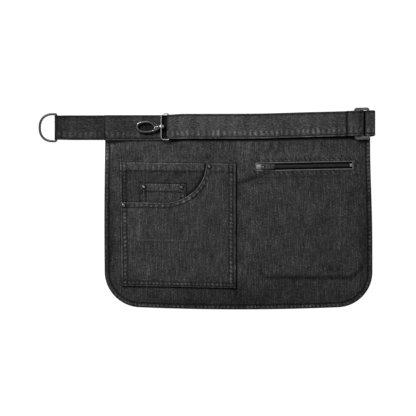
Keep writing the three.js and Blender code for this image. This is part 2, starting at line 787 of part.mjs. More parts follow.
// Three-bar buckle: a flat plate with two slots, its corners round
function makeBuckle() {
  const plate = new THREE.Shape(roundedLoop(buckleLength, buckleHeight, buckleCorner, 3));
  const slotWidth = buckleLength / 2 - buckleBar - buckleMiddleBar / 2;
  const slotHeight = strapWidth + slotRoom;
  const lift = buckleDrop - slotDrop;
  for (const side of [-1, 1]) {
    const offset = new THREE.Vector2(side * (buckleMiddleBar / 2 + slotWidth / 2), lift);
    const slot = roundedLoop(slotWidth, slotHeight, slotCorner, 1).map((point) => point.add(offset));
    plate.holes.push(new THREE.Path(slot.reverse()));
  }
  const geometry = new THREE.ExtrudeGeometry(plate, {
    depth: buckleThick,
    bevelEnabled: false,
  });
  geometry.translate(0, 0, -buckleThick / 2);
  return geometry;
}

// Swivel eye: a wire loop whose outer bar carries a drilled boss. x = 0 is the bar in the strap.
function makeEye() {
  const innerHeight = strapWidth - strapPinch + 2 * gap;
  const wire = wireLoop(roundedLoop(eyeReach, innerHeight + eyeWire, eyeBend, 3, eyeCorner), eyeWire);
  wire.translate(-eyeReach / 2, 0, 0);
  const boss = new THREE.CylinderGeometry(bossRadius, bossRadius, bossLength, 16);
  boss.rotateZ(flatTurn);
  boss.translate(-eyeReach, 0, 0);
  const boreRadius = shankRadius + gap;
  const bore = new THREE.CylinderGeometry(boreRadius, boreRadius, bossLength + 2 * overlap, 12);
  bore.rotateZ(flatTurn);
  bore.translate(-eyeReach, 0, 0);
  return geometryOf(solidOf(wire).add(solidOf(boss)).subtract(solidOf(bore)));
}

function onHook(point) {
  return new THREE.Vector2(-point.along * hookLength, point.side * hookWidth);
}

// A flat outline of the hook, given a thickness about the hook's own plane
function plateSolid(outline, thick) {
  const plate = new THREE.Shape(outline);
  const geometry = new THREE.ExtrudeGeometry(plate, { depth: thick, bevelEnabled: false });
  geometry.translate(0, 0, -thick / 2);
  return solidOf(geometry);
}

// A stretch of a flat ring about the gate's pivot, on the nose's side of it
function sweptRing(inner, outer, thick) {
  const middle = onHook(gatePivot);
  const from = THREE.MathUtils.degToRad(110);
  const to = THREE.MathUtils.degToRad(172);
  const ring = new THREE.Shape();
  ring.absarc(middle.x, middle.y, outer, from, to, false);
  ring.absarc(middle.x, middle.y, inner, to, from, true);
  ring.closePath();
  const geometry = new THREE.ExtrudeGeometry(ring, { depth: thick, curveSegments: 16, bevelEnabled: false });
  geometry.translate(0, 0, -thick / 2);
  return solidOf(geometry);
}

function discSolid(middle, radius, thick, sides = 16) {
  const geometry = new THREE.CylinderGeometry(radius, radius, thick, sides);
  geometry.rotateX(flatTurn);
  geometry.translate(middle.x, middle.y, 0);
  return solidOf(geometry);
}

// Snap hook: arm and nose, a forked root that takes the gate, and the swivel's shank and head.
// x = 0 is the face that meets the boss.
function makeHook() {
  const pivot = onHook(gatePivot);
  const swept = sweptRing(gateReach / 2, gateReach + gap, 2 * hookWire);
  const arm = solidOf(wireAlong(armPath.map(onHook), hookWire, 24)).subtract(swept);
  const cheeks = plateSolid(cheekOutline.map(onHook), cheekThick);
  const slot = plateSolid(gateSlot.map(onHook), hubThick + 2 * gap);
  const pin = discSolid(pivot, pinRadius, (hubThick + 2 * gap + cheekThick) / 2, 12);
  const headFrom = bossLength + 2 * gap;
  const shankReach = headFrom + headLength / 2;
  const shank = new THREE.CylinderGeometry(shankRadius, shankRadius, shankReach + overlap, 12);
  shank.rotateZ(flatTurn);
  shank.translate((shankReach - overlap) / 2, 0, 0);
  const profile = [[0, 0], [0.8, 0], [1, 0.15], [1, 0.5], [0.72, 0.85], [0.4, 1], [0, 1]];
  const head = new THREE.LatheGeometry(
    profile.map(([radius, along]) => new THREE.Vector2(radius * headRadius, along * headLength)),
    16,
  );
  head.rotateZ(-flatTurn);
  head.translate(headFrom, 0, 0);
  return geometryOf(cheeks.subtract(slot).add(arm).add(pin).add(solidOf(shank)).add(solidOf(head)));
}

// Gate with its thumb lever. x = 0 and y = 0 are the pivot.
function makeGate() {
  const pivot = onHook(gatePivot);
  const toPivot = (point) => onHook(point).sub(pivot);
  const beyond = sweptRing(gateReach, 2 * gateReach, 2 * gateWire).translate([-pivot.x, -pivot.y, 0]);
  const arm = solidOf(wireAlong(gatePath.map(toPivot), gateWire, 14)).subtract(beyond);
  const lever = solidOf(wireAlong(leverPath.map(toPivot), leverWire, 8));
  const origin = new THREE.Vector2(0, 0);
  const hub = discSolid(origin, hubRadius, hubThick);
  const armRoot = toPivot(gatePath[0]);
  const leverRoot = toPivot(leverPath[0]);
  const reach = (point, share) => point.clone().multiplyScalar(share);
  const beside = (point, x, y) => point.clone().add(new THREE.Vector2(x, y).multiplyScalar(gateWire));
  const web = plateSolid([
    reach(leverRoot, -0.2),
    beside(leverRoot, 0.25, -0.17),
    reach(leverRoot, 1.1),
    new THREE.Vector2(0, hubRadius),
    reach(armRoot, 1.15),
    beside(armRoot, -0.28, -0.22),
  ], hubThick);
  const bore = discSolid(origin, pinRadius + gap, hubThick + 2 * overlap, 12);
  return geometryOf(hub.add(web).add(arm).add(lever).subtract(bore));
}

// Pocket: the full patch behind, the scooped front and the coin pocket between them
const pocketLeft = leftEdge(-pocketFromWaist) + pocketFromLeft;
const pocketTop = -pocketFromWaist;

function onPocket(fromLeft, fromTop) {
  const acrossShare = fromLeft / pocketWidth;
  const downShare = fromTop / pocketLength;
  return {
    x: pocketLeft + fromLeft + pocketTaper * downShare * (1 - acrossShare),
    y: pocketTop - fromTop - pocketDroop * acrossShare * (1 + 0.7 * downShare),
  };
}

const coinArea = {
  left: coinFromLeft - coinEdge,
  right: coinFromLeft + coinWidth + coinEdge,
  top: -coinFromTop + coinEdge,
  bottom: -coinFromTop - coinLength - coinEdge,
};

function yokeTop(x, y) {
  return panelTop(x, y) + gap + pocketThick;
}

function makeYoke() {
  const columns = gridLines(0, pocketWidth, pocketStep);
  const rows = gridLines(0, pocketLength, pocketStep);
  return sheetSolid(columns, rows, (fromLeft, fromTop) => {
    const { x, y } = onPocket(fromLeft, fromTop);
    return { x, y, low: yokeTop(x, y) - pocketThick, high: yokeTop(x, y) };
  });
}

function makeCoinPocket() {
  const columns = gridLines(coinFromLeft, coinFromLeft + coinWidth, coinStep);
  const rows = gridLines(coinFromTop, coinFromTop + coinLength, coinStep);
  return sheetSolid(columns, rows, (fromLeft, fromTop) => {
    const { x, y } = onPocket(fromLeft, fromTop);
    return { x, y, low: yokeTop(x, y) + gap, high: yokeTop(x, y) + gap + pocketThick };
  });
}

// The scooped edge's distance below the pocket's top
function scoopAt(fromLeft) {
  if (fromLeft >= scoopWidth) {
    return 0;
  }
  const share = Math.max(0, (fromLeft - (scoopWidth - scoopRound)) / scoopRound);
  return scoopDepth * Math.sqrt(Math.max(0, 1 - share ** 2));
}

function frontLow(fromLeft, fromTop) {
  const { x, y } = onPocket(fromLeft, fromTop);
  const overCoin = (pocketThick + gap) * raisedBy(fromLeft, -fromTop, coinArea, easeRun);
  const steep = smooth(scoopWidth - scoopRound, scoopWidth - rivetRadius * 6, fromLeft);
  const past = 1 - smooth(rivetRadius, scoopLiftRun, fromLeft - scoopWidth);
  const near = 1 - smooth(rivetRadius, scoopLiftRun, fromTop - scoopAt(fromLeft));
  return yokeTop(x, y) + gap + Math.max(overCoin, scoopLift * steep * past * near);
}

function makeFront() {
  const roundTurns = [15, 30, 45, 58, 70, 80];
  const roundColumns = roundTurns.map((turn) => {
    return scoopWidth - scoopRound * (1 - Math.sin(THREE.MathUtils.degToRad(turn)));
  });
  const coinColumns = [coinArea.left - easeRun, coinArea.left, coinArea.right, coinArea.right + easeRun];
  const straightEnd = scoopWidth - scoopRound;
  const columns = [
    ...gridLines(0, straightEnd, pocketStep * 1.2, coinColumns),
    ...roundColumns,
    ...gridLines(scoopWidth, pocketWidth, pocketStep),
  ].filter((line, i, all) => i === 0 || line - all[i - 1] > 0.5);
  const coinFoot = -coinArea.bottom;
  const footRows = gridLines(coinFoot, pocketLength, pocketStep, [coinFoot + easeRun]);
  const headRows = gridLines(0, 1, 0.2);
  const rows = [...headRows.map((share) => share - 1), ...footRows.slice(1)];
  return sheetSolid(columns, rows, (fromLeft, row) => {
    const scoop = scoopAt(fromLeft);
    const fromTop = row <= 0 ? THREE.MathUtils.lerp(scoop, coinFoot, row + 1) : row;
    const { x, y } = onPocket(fromLeft, fromTop);
    const low = frontLow(fromLeft, fromTop);
    return { x, y, low, high: low + pocketThick };
  });
}

// Rivet: a low dome with a flat rim
function makeRivet() {
  const profile = [[0, 0], [1, 0], [1, 0.35], [0.82, 0.75], [0.5, 0.95], [0, 1]];
  const geometry = new THREE.LatheGeometry(
    profile.map(([radius, height]) => new THREE.Vector2(radius * rivetRadius, height * rivetHeight)),
    14,
  );
  geometry.rotateX(flatTurn);
  return geometry;
}

// Zipped pocket's bag, a flat cloth behind the panel with two round lower corners
function makeBag() {
  const outline = new THREE.Shape();
  const left = bagFromMiddle - bagWidth / 2;
  const right = bagFromMiddle + bagWidth / 2;
  const top = -bagFromWaist;
  const bottom = top - bagLength;
  outline.moveTo(left, top);
  outline.lineTo(left, bottom + bagCorner);
  outline.absarc(left + bagCorner, bottom + bagCorner, bagCorner, Math.PI, 1.5 * Math.PI, false);
  outline.absarc(right - bagCorner, bottom + bagCorner, bagCorner, 1.5 * Math.PI, 2 * Math.PI, false);
  outline.lineTo(right, top);
  outline.closePath();
  return new THREE.ExtrudeGeometry(outline, { depth: bagThick, curveSegments: 6, bevelEnabled: false });
}

// Zip chain: a strip whose top is cut into teeth
function makeChain() {
  const length = zipLength - 2 * chainRoom;
  const teeth = Math.round(length / toothPitch);
  const pitch = length / teeth;
  const root = chainThick * 0.55;
  const side = new THREE.Shape();
  side.moveTo(-length / 2, 0);
  side.lineTo(length / 2, 0);
  for (let tooth = teeth; tooth > 0; tooth -= 1) {
    const right = -length / 2 + tooth * pitch;
    side.lineTo(right, root);
    side.lineTo(right - pitch * 0.2, chainThick);
    side.lineTo(right - pitch * 0.65, chainThick);
    side.lineTo(right - pitch * 0.85, root);
  }
  side.lineTo(-length / 2, root);
  side.closePath();
  const geometry = new THREE.ExtrudeGeometry(side, { depth: chainWidth, bevelEnabled: false });
  geometry.rotateX(flatTurn);
  geometry.translate(0, chainWidth / 2, 0);
  return geometry;
}

// Zip slider: a plate with turned-down sides that run beside the chain, and a bridge for the pull.
// Its parts are placed from the chain's top.
const zipPlateLow = gap;
const hingeRoom = 0.25; // beyond the gap, for the pull's bar to turn over the plate
const hingeHeight = zipPlateLow + zipSliderPlate + gap + pullThick / 2 + hingeRoom;

function makeZipSlider() {
  const outline = new THREE.Shape(roundedLoop(zipSliderLength, zipSliderWidth, zipSideInset, 3));
  const plate = new THREE.ExtrudeGeometry(outline, { depth: zipSliderPlate, bevelEnabled: false });
  plate.translate(0, 0, zipPlateLow);
  let body = solidOf(plate);
  const seat = zipSliderPlate / 3; // of the sides in the plate
  const wallHeight = chainThick + zipPlateLow + seat;
  for (const side of [-1, 1]) {
    const wall = new THREE.BoxGeometry(zipSliderLength - 2 * zipSideInset, zipSideWall, wallHeight);
    const beside = chainWidth / 2 + gap + zipSideWall / 2;
    wall.translate(0, side * beside, zipPlateLow + seat - wallHeight / 2);
    body = body.add(solidOf(wall));
  }
  const half = bridgeLength / 2;
  const inHalf = half - bridgeWall;
  const underside = bridgeHeight - bridgeWall;
  const sink = 0.1; // of the bridge in the plate
  const bridge = new THREE.Shape([
    new THREE.Vector2(-half, 0),
    new THREE.Vector2(half, 0),
    new THREE.Vector2(half, bridgeHeight * 0.7),
    new THREE.Vector2(half - 1, bridgeHeight),
    new THREE.Vector2(1.4 - half, bridgeHeight),
    new THREE.Vector2(-half, bridgeHeight * 0.6),
  ]);
  bridge.holes.push(new THREE.Path([
    new THREE.Vector2(-inHalf, sink),
    new THREE.Vector2(-inHalf, bridgeHeight * 0.52),
    new THREE.Vector2(0.8 - inHalf, underside),
    new THREE.Vector2(inHalf, underside),
    new THREE.Vector2(inHalf, sink),
  ]));
  const arch = new THREE.ExtrudeGeometry(bridge, { depth: bridgeWidth, bevelEnabled: false });
  arch.rotateX(flatTurn);
  arch.translate(0, bridgeWidth / 2, zipPlateLow + zipSliderPlate - sink);
  return geometryOf(body.add(solidOf(arch)));
}

// Pull tab: a hinge bar under the bridge, a slot long enough to fall round the bridge either way,
// and a grip with three ribs. x = 0 is the hinge.
const hingeToLeg = pullBar / 2 + 1.3 * gap;

function makePull() {
  const slotWidth = bridgeWidth + 4 * gap;
  const slotEnd = bridgeLength - bridgeWall - hingeToLeg + pullThick;
  const half = pullWidth / 2;
  const shoulder = slotWidth / 2 + pullBar;
  const round = 2; // of the grip's corners
  const outline = new THREE.Shape([
    new THREE.Vector2(-pullBar / 2, -shoulder),
    new THREE.Vector2(round, -half),
    new THREE.Vector2(pullLength - round, -half),
    new THREE.Vector2(pullLength, -half + round),
    new THREE.Vector2(pullLength, half - round),
    new THREE.Vector2(pullLength - round, half),
    new THREE.Vector2(round, half),
    new THREE.Vector2(-pullBar / 2, shoulder),
  ]);
  const slotLength = slotEnd - pullBar / 2;
  const slotMiddle = pullBar / 2 + slotLength / 2;
  const offset = new THREE.Vector2(slotMiddle, 0);
  const slot = roundedLoop(slotLength, slotWidth, 0.8, 2).map((point) => point.add(offset));
  outline.holes.push(new THREE.Path(slot.reverse()));
  const plate = new THREE.ExtrudeGeometry(outline, { depth: pullThick, bevelEnabled: false });
  plate.translate(0, 0, -pullThick / 2);
  let grip = solidOf(plate);
  for (const place of [0.57, 0.74, 0.91]) {
    const rib = new THREE.BoxGeometry(pullRib.width, pullWidth - 2 * pullRib.inset, 2 * pullRib.height);
    rib.translate(pullLength * place, 0, pullThick / 2);
    grip = grip.add(solidOf(rib));
  }
  return geometryOf(grip);
}

// Cloth
addPiece(apron, 'apron_panel', makePanel(), denimBlack);
addPiece(apron, 'waistband', makeWaistband(), denimBand);
addPiece(apron, 'left_strap', makeLeftStrap(), denimBand);
addPiece(apron, 'belt_strap', makeBeltStrap(), denimBand);
addPiece(apron, 'pocket_yoke', makeYoke(), denimBlack);
addPiece(apron, 'coin_pocket', makeCoinPocket(), denimBlack);
addPiece(apron, 'pocket_front', makeFront(), denimBlack);
addPiece(apron, 'zip_pocket_bag', makeBag(), lining);

// Rivets at both ends of the scoop and at the coin pocket's upper corners
const coinTopZ = (fromLeft, fromTop) => {
  const { x, y } = onPocket(fromLeft, fromTop);
  return yokeTop(x, y) + gap + pocketThick + gap;
};
const frontTopZ = (fromLeft, fromTop) => frontLow(fromLeft, fromTop) + pocketThick + gap;
const coinRivetTop = coinFromTop + rivetInset;
const coinRight = coinFromLeft + coinWidth;
const rivets = [
  { name: 'rivet_coin_left', across: coinFromLeft + rivetInset, down: coinRivetTop, level: coinTopZ },
  { name: 'rivet_coin_right', across: coinRight - coinRivetInset, down: coinRivetTop, level: coinTopZ },
  { name: 'rivet_scoop_left', across: rivetInset, down: scoopDepth + rivetInset, level: frontTopZ },
  { name: 'rivet_scoop_top', across: scoopWidth + rivetInset, down: rivetInset, level: frontTopZ },
];
for (const rivet of rivets) {
  const dome = addPiece(apron, rivet.name, makeRivet(), gunmetal);
  const { x, y } = onPocket(rivet.across, rivet.down);
  dome.position.set(x, y, rivet.level(rivet.across, rivet.down));
}

// Zip, laid along its own slight slope
const zip = new THREE.Group();
zip.position.set(zipFromMiddle, zipMiddleY, 0);
zip.rotation.z = zipSlope;
apron.add(zip);
for (const [name, side] of [['zip_tape_upper', 1], ['zip_tape_lower', -1]]) {
  const strip = new THREE.BoxGeometry(zipLength + 2 * tapeBeyond, tapeWidth - tapeSplit / 2, tapeThick);
  const tape = addPiece(zip, name, strip, zipBlack);
  tape.position.set(0, side * (tapeWidth / 2 + tapeSplit / 4), tapeLow + tapeThick / 2);
}
const chainLow = tapeTop + gap / 2;
addPiece(zip, 'zip_chain', makeChain(), zipBlack).position.z = chainLow;
const stopX = zipLength / 2 - stopRoom - stopLength / 2;
const stopBar = new THREE.BoxGeometry(stopLength, stopHeight, stopThick);
const stop = addPiece(zip, 'zip_end_stop', stopBar, gunmetal);
stop.position.set(stopX, 0, chainLow + chainThick + gap / 2 + stopThick / 2);

const zipSlider = new THREE.Group();
zipSlider.position.set(-zipLength / 2 + zipSliderLength / 2, 0, chainLow + chainThick);
zip.add(zipSlider);
addPiece(zipSlider, 'zip_slider', makeZipSlider(), gunmetal);
const pull = addPiece(zipSlider, 'zip_pull', makePull(), gunmetal);
pull.position.set(bridgeLength / 2 - bridgeWall - hingeToLeg, 0, hingeHeight);
pull.rotation.y = THREE.MathUtils.degToRad(pullDroop);

// D-ring, tipped so that its round side touches the ground
const ring = addPiece(apron, 'd_ring', makeRing(), gunmetal);
ring.position.set(leftFoldX, strapMiddleY, ringLevel);
ring.rotation.y = -Math.atan((ringLevel - ringWire / 2) / (ringDepth - ringWire / 2));

// Buckle, turned with the strap
const buckle = addPiece(apron, 'belt_buckle', makeBuckle(), buckleSteel);
buckle.position.set(buckleX, beltMiddleY + climb(buckleX) - buckleDrop, buckleLevel);
buckle.rotation.z = climbSlope(buckleX);

// Swivel eye in the strap's fold, with the hook and its gate
const eye = new THREE.Group();
eye.position.set(hookFromMiddle, beltMiddleY - eyeDrop + climb(hookFromMiddle), eyeLevel);
apron.add(eye);
addPiece(eye, 'swivel_eye', makeEye(), gunmetal);
const hook = new THREE.Group();
hook.position.x = -eyeReach - bossLength / 2 - gap;
eye.add(hook);
addPiece(hook, 'snap_hook', makeHook(), gunmetal);
const gate = addPiece(hook, 'hook_gate', makeGate(), gunmetal);
const pivotPlace = onHook(gatePivot);
gate.position.set(pivotPlace.x, pivotPlace.y, 0);

// The origin is the middle of the footprint, at the surface that the apron lies on.
const bounds = new THREE.Box3().setFromObject(apron, true);
const middle = bounds.getCenter(new THREE.Vector3());
apron.position.set(-middle.x, -middle.y, -bounds.min.z);

export default apron;
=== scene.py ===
# Waist apron of washed black denim, lying on its back with the front up.
# Hard pieces are in metres. Cloth is worked out in millimetres from the middle of the waist seam.
import math

import bpy
import numpy as np
from mathutils import Matrix, Vector


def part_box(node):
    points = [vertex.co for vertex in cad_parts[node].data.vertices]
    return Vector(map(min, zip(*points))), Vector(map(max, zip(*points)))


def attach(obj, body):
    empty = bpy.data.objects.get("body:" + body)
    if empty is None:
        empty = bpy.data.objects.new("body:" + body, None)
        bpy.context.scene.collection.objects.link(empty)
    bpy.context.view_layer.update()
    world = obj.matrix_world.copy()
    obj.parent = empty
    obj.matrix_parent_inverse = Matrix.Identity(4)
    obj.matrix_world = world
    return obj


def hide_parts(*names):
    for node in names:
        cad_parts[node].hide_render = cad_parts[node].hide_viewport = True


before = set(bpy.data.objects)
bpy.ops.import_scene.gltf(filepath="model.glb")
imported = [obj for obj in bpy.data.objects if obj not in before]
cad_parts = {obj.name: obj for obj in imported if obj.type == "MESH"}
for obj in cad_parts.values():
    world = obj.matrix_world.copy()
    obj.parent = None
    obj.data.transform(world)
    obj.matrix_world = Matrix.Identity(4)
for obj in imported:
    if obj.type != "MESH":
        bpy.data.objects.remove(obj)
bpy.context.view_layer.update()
mm = 0.001
bandLow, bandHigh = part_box("waistband")
waistX = (bandLow.x + bandHigh.x) / 2 / mm
waistY = bandLow.y / mm
print("frame loaded with", len(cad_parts), "nodes")


# Numbers that the cloth shares

layers = {
    "gap": 0.3,
    "panel": 1.1,
    "hem": 0.45,  # that the turned hem adds on each side
    "pocket": 1.1,
    "bag": 0.9,
    "tape": 0.8,
    "bandWall": 1.2,
    "strap": 1.5,
}
band = {"length": 531, "height": 50.4, "rise": 7, "easing": 0.2, "foldReach": 11.2, "tuck": 12}
bandCavity = layers["strap"] + 2 * layers["gap"]
bandThick = 2 * layers["bandWall"] + bandCavity
bandMiddle = bandThick / 2
bandEnd = band["length"] / 2
bandRows = {"low": 3.4, "high": 3.2}  # rows of stitches along the waistband and the straps


def ease(low, high, value):
    share = np.clip((value - low) / (high - low), 0, 1)
    return share * share * (3 - 2 * share)


def bell(distance, width):
    return np.exp(-((distance / width) ** 2))


def wobble(along, seed):  # smooth values from 0 to 1 along a line, a new one at each whole number
    table = np.random.RandomState(seed).rand(256)
    cell = np.floor(along).astype(int)
    share = ease(0, 1, along - cell)
    return table[cell % 256] * (1 - share) + table[(cell + 1) % 256] * share


def dapple(x, y, seed):  # the same over a plane
    table = np.random.RandomState(seed).rand(64, 64)
    cellX, cellY = np.floor(x).astype(int), np.floor(y).astype(int)
    shareX, shareY = ease(0, 1, x - cellX), ease(0, 1, y - cellY)
    near = table[cellX % 64, cellY % 64] * (1 - shareX) + table[(cellX + 1) % 64, cellY % 64] * shareX
    far = table[cellX % 64, (cellY + 1) % 64] * (1 - shareX)
    far = far + table[(cellX + 1) % 64, (cellY + 1) % 64] * shareX
    return near * (1 - shareY) + far * shareY


def climb(x):  # how far the waist climbs at a place along it
    share = np.maximum(0, x / (bandEnd + band["foldReach"]))
    easing = band["easing"]
    eased = np.where(share < easing, share**2 / (2 * easing), share - easing / 2)
    return band["rise"] * eased / (1 - easing / 2)


def linesBetween(start, end, step, kept=(), apart=0.0):
    stops = [start]
    for line in sorted(line for line in kept if start < line < end):
        if line - stops[-1] > apart:
            stops.append(line)
    if end - stops[-1] <= apart:
        stops.pop()
    stops.append(end)
    lines = []
    for low, high in zip(stops, stops[1:]):
        parts = max(1, math.ceil((high - low) / step - 0.01))
        lines += [low + (high - low) * part / parts for part in range(parts)]
    return np.array([*lines, stops[-1]])


def besideRows(*rows):  # grid lines that follow rows of stitches
    return [row + side for row in rows for side in (-1.1, 0, 1.1)]


def fromBothEnds(start, end, lines):
    return [*[start + line for line in lines], *[end - line for line in lines]]


def runAlong(path):  # how far along it each point of a path is
    return np.concatenate([[0], np.cumsum(np.linalg.norm(np.diff(path, axis=0), axis=1))])


def unitRows(vectors):
    return vectors / np.linalg.norm(vectors, axis=1)[:, None]


def spot(dx, dy, slope, length, width):  # a soft oval that is 1 in its middle
    turned = math.radians(slope)
    far = (dx * math.cos(turned) + dy * math.sin(turned)) / length
    near = (dy * math.cos(turned) - dx * math.sin(turned)) / width
    return np.exp(-(far**2) - near**2)


def nearest(x, y, path):  # distance to a path, and how far along it that is
    best, along, run = np.full(x.shape, 1e9), np.zeros(x.shape), 0
    for start, end in zip(path[:-1], path[1:]):
        step = end - start
        length = math.hypot(*step)
        if length < 1e-9:
            continue
        share = np.clip(((x - start[0]) * step[0] + (y - start[1]) * step[1]) / length**2, 0, 1)
        away = np.hypot(x - start[0] - share * step[0], y - start[1] - share * step[1])
        closer = away < best
        best = np.where(closer, away, best)
        along = np.where(closer, run + share * length, along)
        run += length
    return best, along


def boxDistance(x, y, box, corner=0, sides=1):  # outside a box with round corners it is positive
    halfX, halfY = (box["right"] - box["left"]) / 2, (box["top"] - box["bottom"]) / 2
    outX = np.abs(x - (box["left"] + box["right"]) / 2) - halfX
    outX = np.where(outX > 0, sides * outX, outX) + corner
    outY = np.abs(y - (box["top"] + box["bottom"]) / 2) - halfY + corner
    outside = np.hypot(np.maximum(outX, 0), np.maximum(outY, 0))
    return outside + np.minimum(np.maximum(outX, outY), 0) - corner


def roundOff(distance, radius):  # how much a rounded edge drops at a distance from it
    inside = np.clip(1 - distance / radius, 0, 1)
    return radius * (1 - np.sqrt(1 - inside**2)) * 0.92


# Puckered seams: between the edge and its stitches a turned edge ropes after washing

def roping(along, period, seed):
    drift = 0.4 * wobble(along / (2.2 * period), seed)
    swing = 0.5 + 0.5 * np.sin(2 * math.pi * (along / period + drift))
    return swing * (0.5 + 0.5 * wobble(along / (1.7 * period), seed + 1))


def seamRelief(distance, along, seam):
    low, high = seam["ropeFrom"], seam["ropeTo"]
    window = np.clip(1 - ((2 * distance - low - high) / (high - low)) ** 2, 0, 1)
    wave = roping(along + seam.get("slant", 0.3) * distance, seam.get("period", 10), seam["seed"])
    rise = seam["puff"] * window * wave
    worn = 3.2 * seam.get("wear", 0.8) * window * (wave - 0.24)
    # Each row of stitches is painted darker along its groove: painted shade in the groove, besides the dark thread.
    for row in seam["rows"]:
        groove = bell(distance - row, 1.15) * (0.75 + 0.5 * wobble(along / 3.1, seam["seed"] + 4))
        rise = rise - seam.get("sink", 0.25) * groove
        worn = worn - seam.get("dark", 1.9) * groove
    inner = max(seam["rows"]) + 1
    rise = rise + seam.get("step", 0) * (1 - ease(inner - 0.7, inner + 0.7, distance))
    worn = worn + 0.3 * seam.get("step", 0) * bell(distance - inner + 1.6, 0.9)
    # A positive edge pales the edge as rubbed wear and a painted highlight; a negative edge paints shade along the
    # edge.
    rubbed = 0.5 + 0.7 * wobble(along / 9, seam["seed"] + 2)
    worn = worn + seam.get("edge", 0.7) * bell(distance - 0.4, 1.1) * rubbed
    return rise, worn


def reliefOf(x, y, seams):
    rise, worn = np.zeros(x.shape), np.zeros(x.shape)
    for seam in seams:
        distance, along = nearest(x, y, seam["path"])
        more, moreWearShade = seamRelief(distance, along, seam)
        rise, worn = rise + more, worn + moreWearShade
    return rise, worn


# Meshes of cloth: two fine layers and the walls between them

def meshPiece(name, places, faces):
    mesh = bpy.data.meshes.new(name)
    mesh.from_pydata(places.tolist(), [], faces)
    mesh.polygons.foreach_set("use_smooth", [True] * len(mesh.polygons))
    piece = bpy.data.objects.new(name, mesh)
    bpy.context.scene.collection.objects.link(piece)
    return piece


def clothPiece(name, high, low, uv, wearShadeHigh, wearShadeLow=None, kept=None):
    rows, columns = high.shape[:2]
    kept = np.ones((rows - 1, columns - 1), bool) if kept is None else kept
    layer = rows * columns
    places = np.concatenate([low.reshape(-1, 3), high.reshape(-1, 3)]) * mm
    places[:, 2] = np.maximum(places[:, 2], 0)  # nothing dips into the floor
    index = np.arange(layer).reshape(rows, columns)
    a, b, c, d = index[:-1, :-1][kept], index[1:, :-1][kept], index[1:, 1:][kept], index[:-1, 1:][kept]
    faces = [np.stack([layer + a, layer + b, layer + c, layer + d], 1), np.stack([a, d, c, b], 1)]
    padded = np.pad(kept, 1)
    for shift, start, end in [((0, -1), 0, 1), ((1, 0), 1, 2), ((0, 1), 2, 3), ((-1, 0), 3, 0)]:
        bare = ~padded[1 + shift[0]: rows + shift[0], 1 + shift[1]: columns + shift[1]][kept]
        corners = [a, b, c, d]
        p, q = corners[start][bare], corners[end][bare]
        faces.append(np.stack([layer + q, layer + p, p, q], 1))
    faces = np.concatenate(faces)
    used, faces = np.unique(faces, return_inverse=True)
    faces = faces.reshape(-1, 4)
    piece = meshPiece(name, places[used], faces.tolist())
    mesh = piece.data
    flatUv = np.concatenate([uv.reshape(-1, 2), uv.reshape(-1, 2)])[used] * mm
    layerUv = mesh.uv_layers.new(name="weave")
    layerUv.data.foreach_set("uv", flatUv[faces.ravel()].astype(np.float32).ravel())
    wearShadeLow = wearShadeHigh * 0 if wearShadeLow is None else wearShadeLow
    # The attribute holds the cloth's wear together with painted shade and painted highlights.
    worn = np.concatenate([wearShadeLow.ravel(), wearShadeHigh.ravel()])[used]
    mesh.attributes.new("worn", "FLOAT", "POINT").data.foreach_set("value", worn.astype(np.float32))
    return piece


def toWorld(x, y, z):
    return np.stack(np.broadcast_arrays(x + waistX, y + waistY, z), -1)


def finishPiece(piece, material, slotName, body, *nodes):
    piece.data.materials.clear()
    piece.data.materials.append(material)
    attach(piece, body)
    if nodes:
        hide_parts(*nodes)
    return piece


# Stitches: one is modelled, and each row is that one laid along its line again and again

stitch = {"pitch": 3.4, "space": 0.75, "radius": 0.3, "lift": 0.16, "dive": 0.34}


def modelStitch():
    bpy.ops.object.select_all(action="DESELECT")
    bpy.ops.mesh.primitive_cylinder_add(vertices=5, radius=stitch["radius"], depth=1, end_fill_type="NGON")
    unit = bpy.context.object
    bpy.ops.object.mode_set(mode="EDIT")
    for cut in (-0.3, 0.3):
        bpy.ops.mesh.select_all(action="SELECT")
        bpy.ops.mesh.bisect(plane_co=(0, 0, cut), plane_no=(0, 0, 1))
    bpy.ops.mesh.select_all(action="SELECT")
    bpy.ops.transform.rotate(value=math.pi / 2, orient_axis="Y", center_override=(0, 0, 0))
    bpy.ops.object.mode_set(mode="OBJECT")
    places = np.array([vertex.co for vertex in unit.data.vertices])
    ends = np.abs(places[:, 0]) > 0.45
    places[ends, 1:] *= 0.55  # the thread narrows where it dives into the cloth
    faces = [list(face.vertices) for face in unit.data.polygons]
    normal = unit.data.polygons[0].normal
    middle = unit.data.polygons[0].center
    if normal.dot(Vector((0, middle.y, middle.z))) < 0:
        faces = [face[::-1] for face in faces]
    bpy.data.objects.remove(unit)
    return places, ends, faces


stitchPlaces, stitchEnds, stitchFaces = modelStitch()


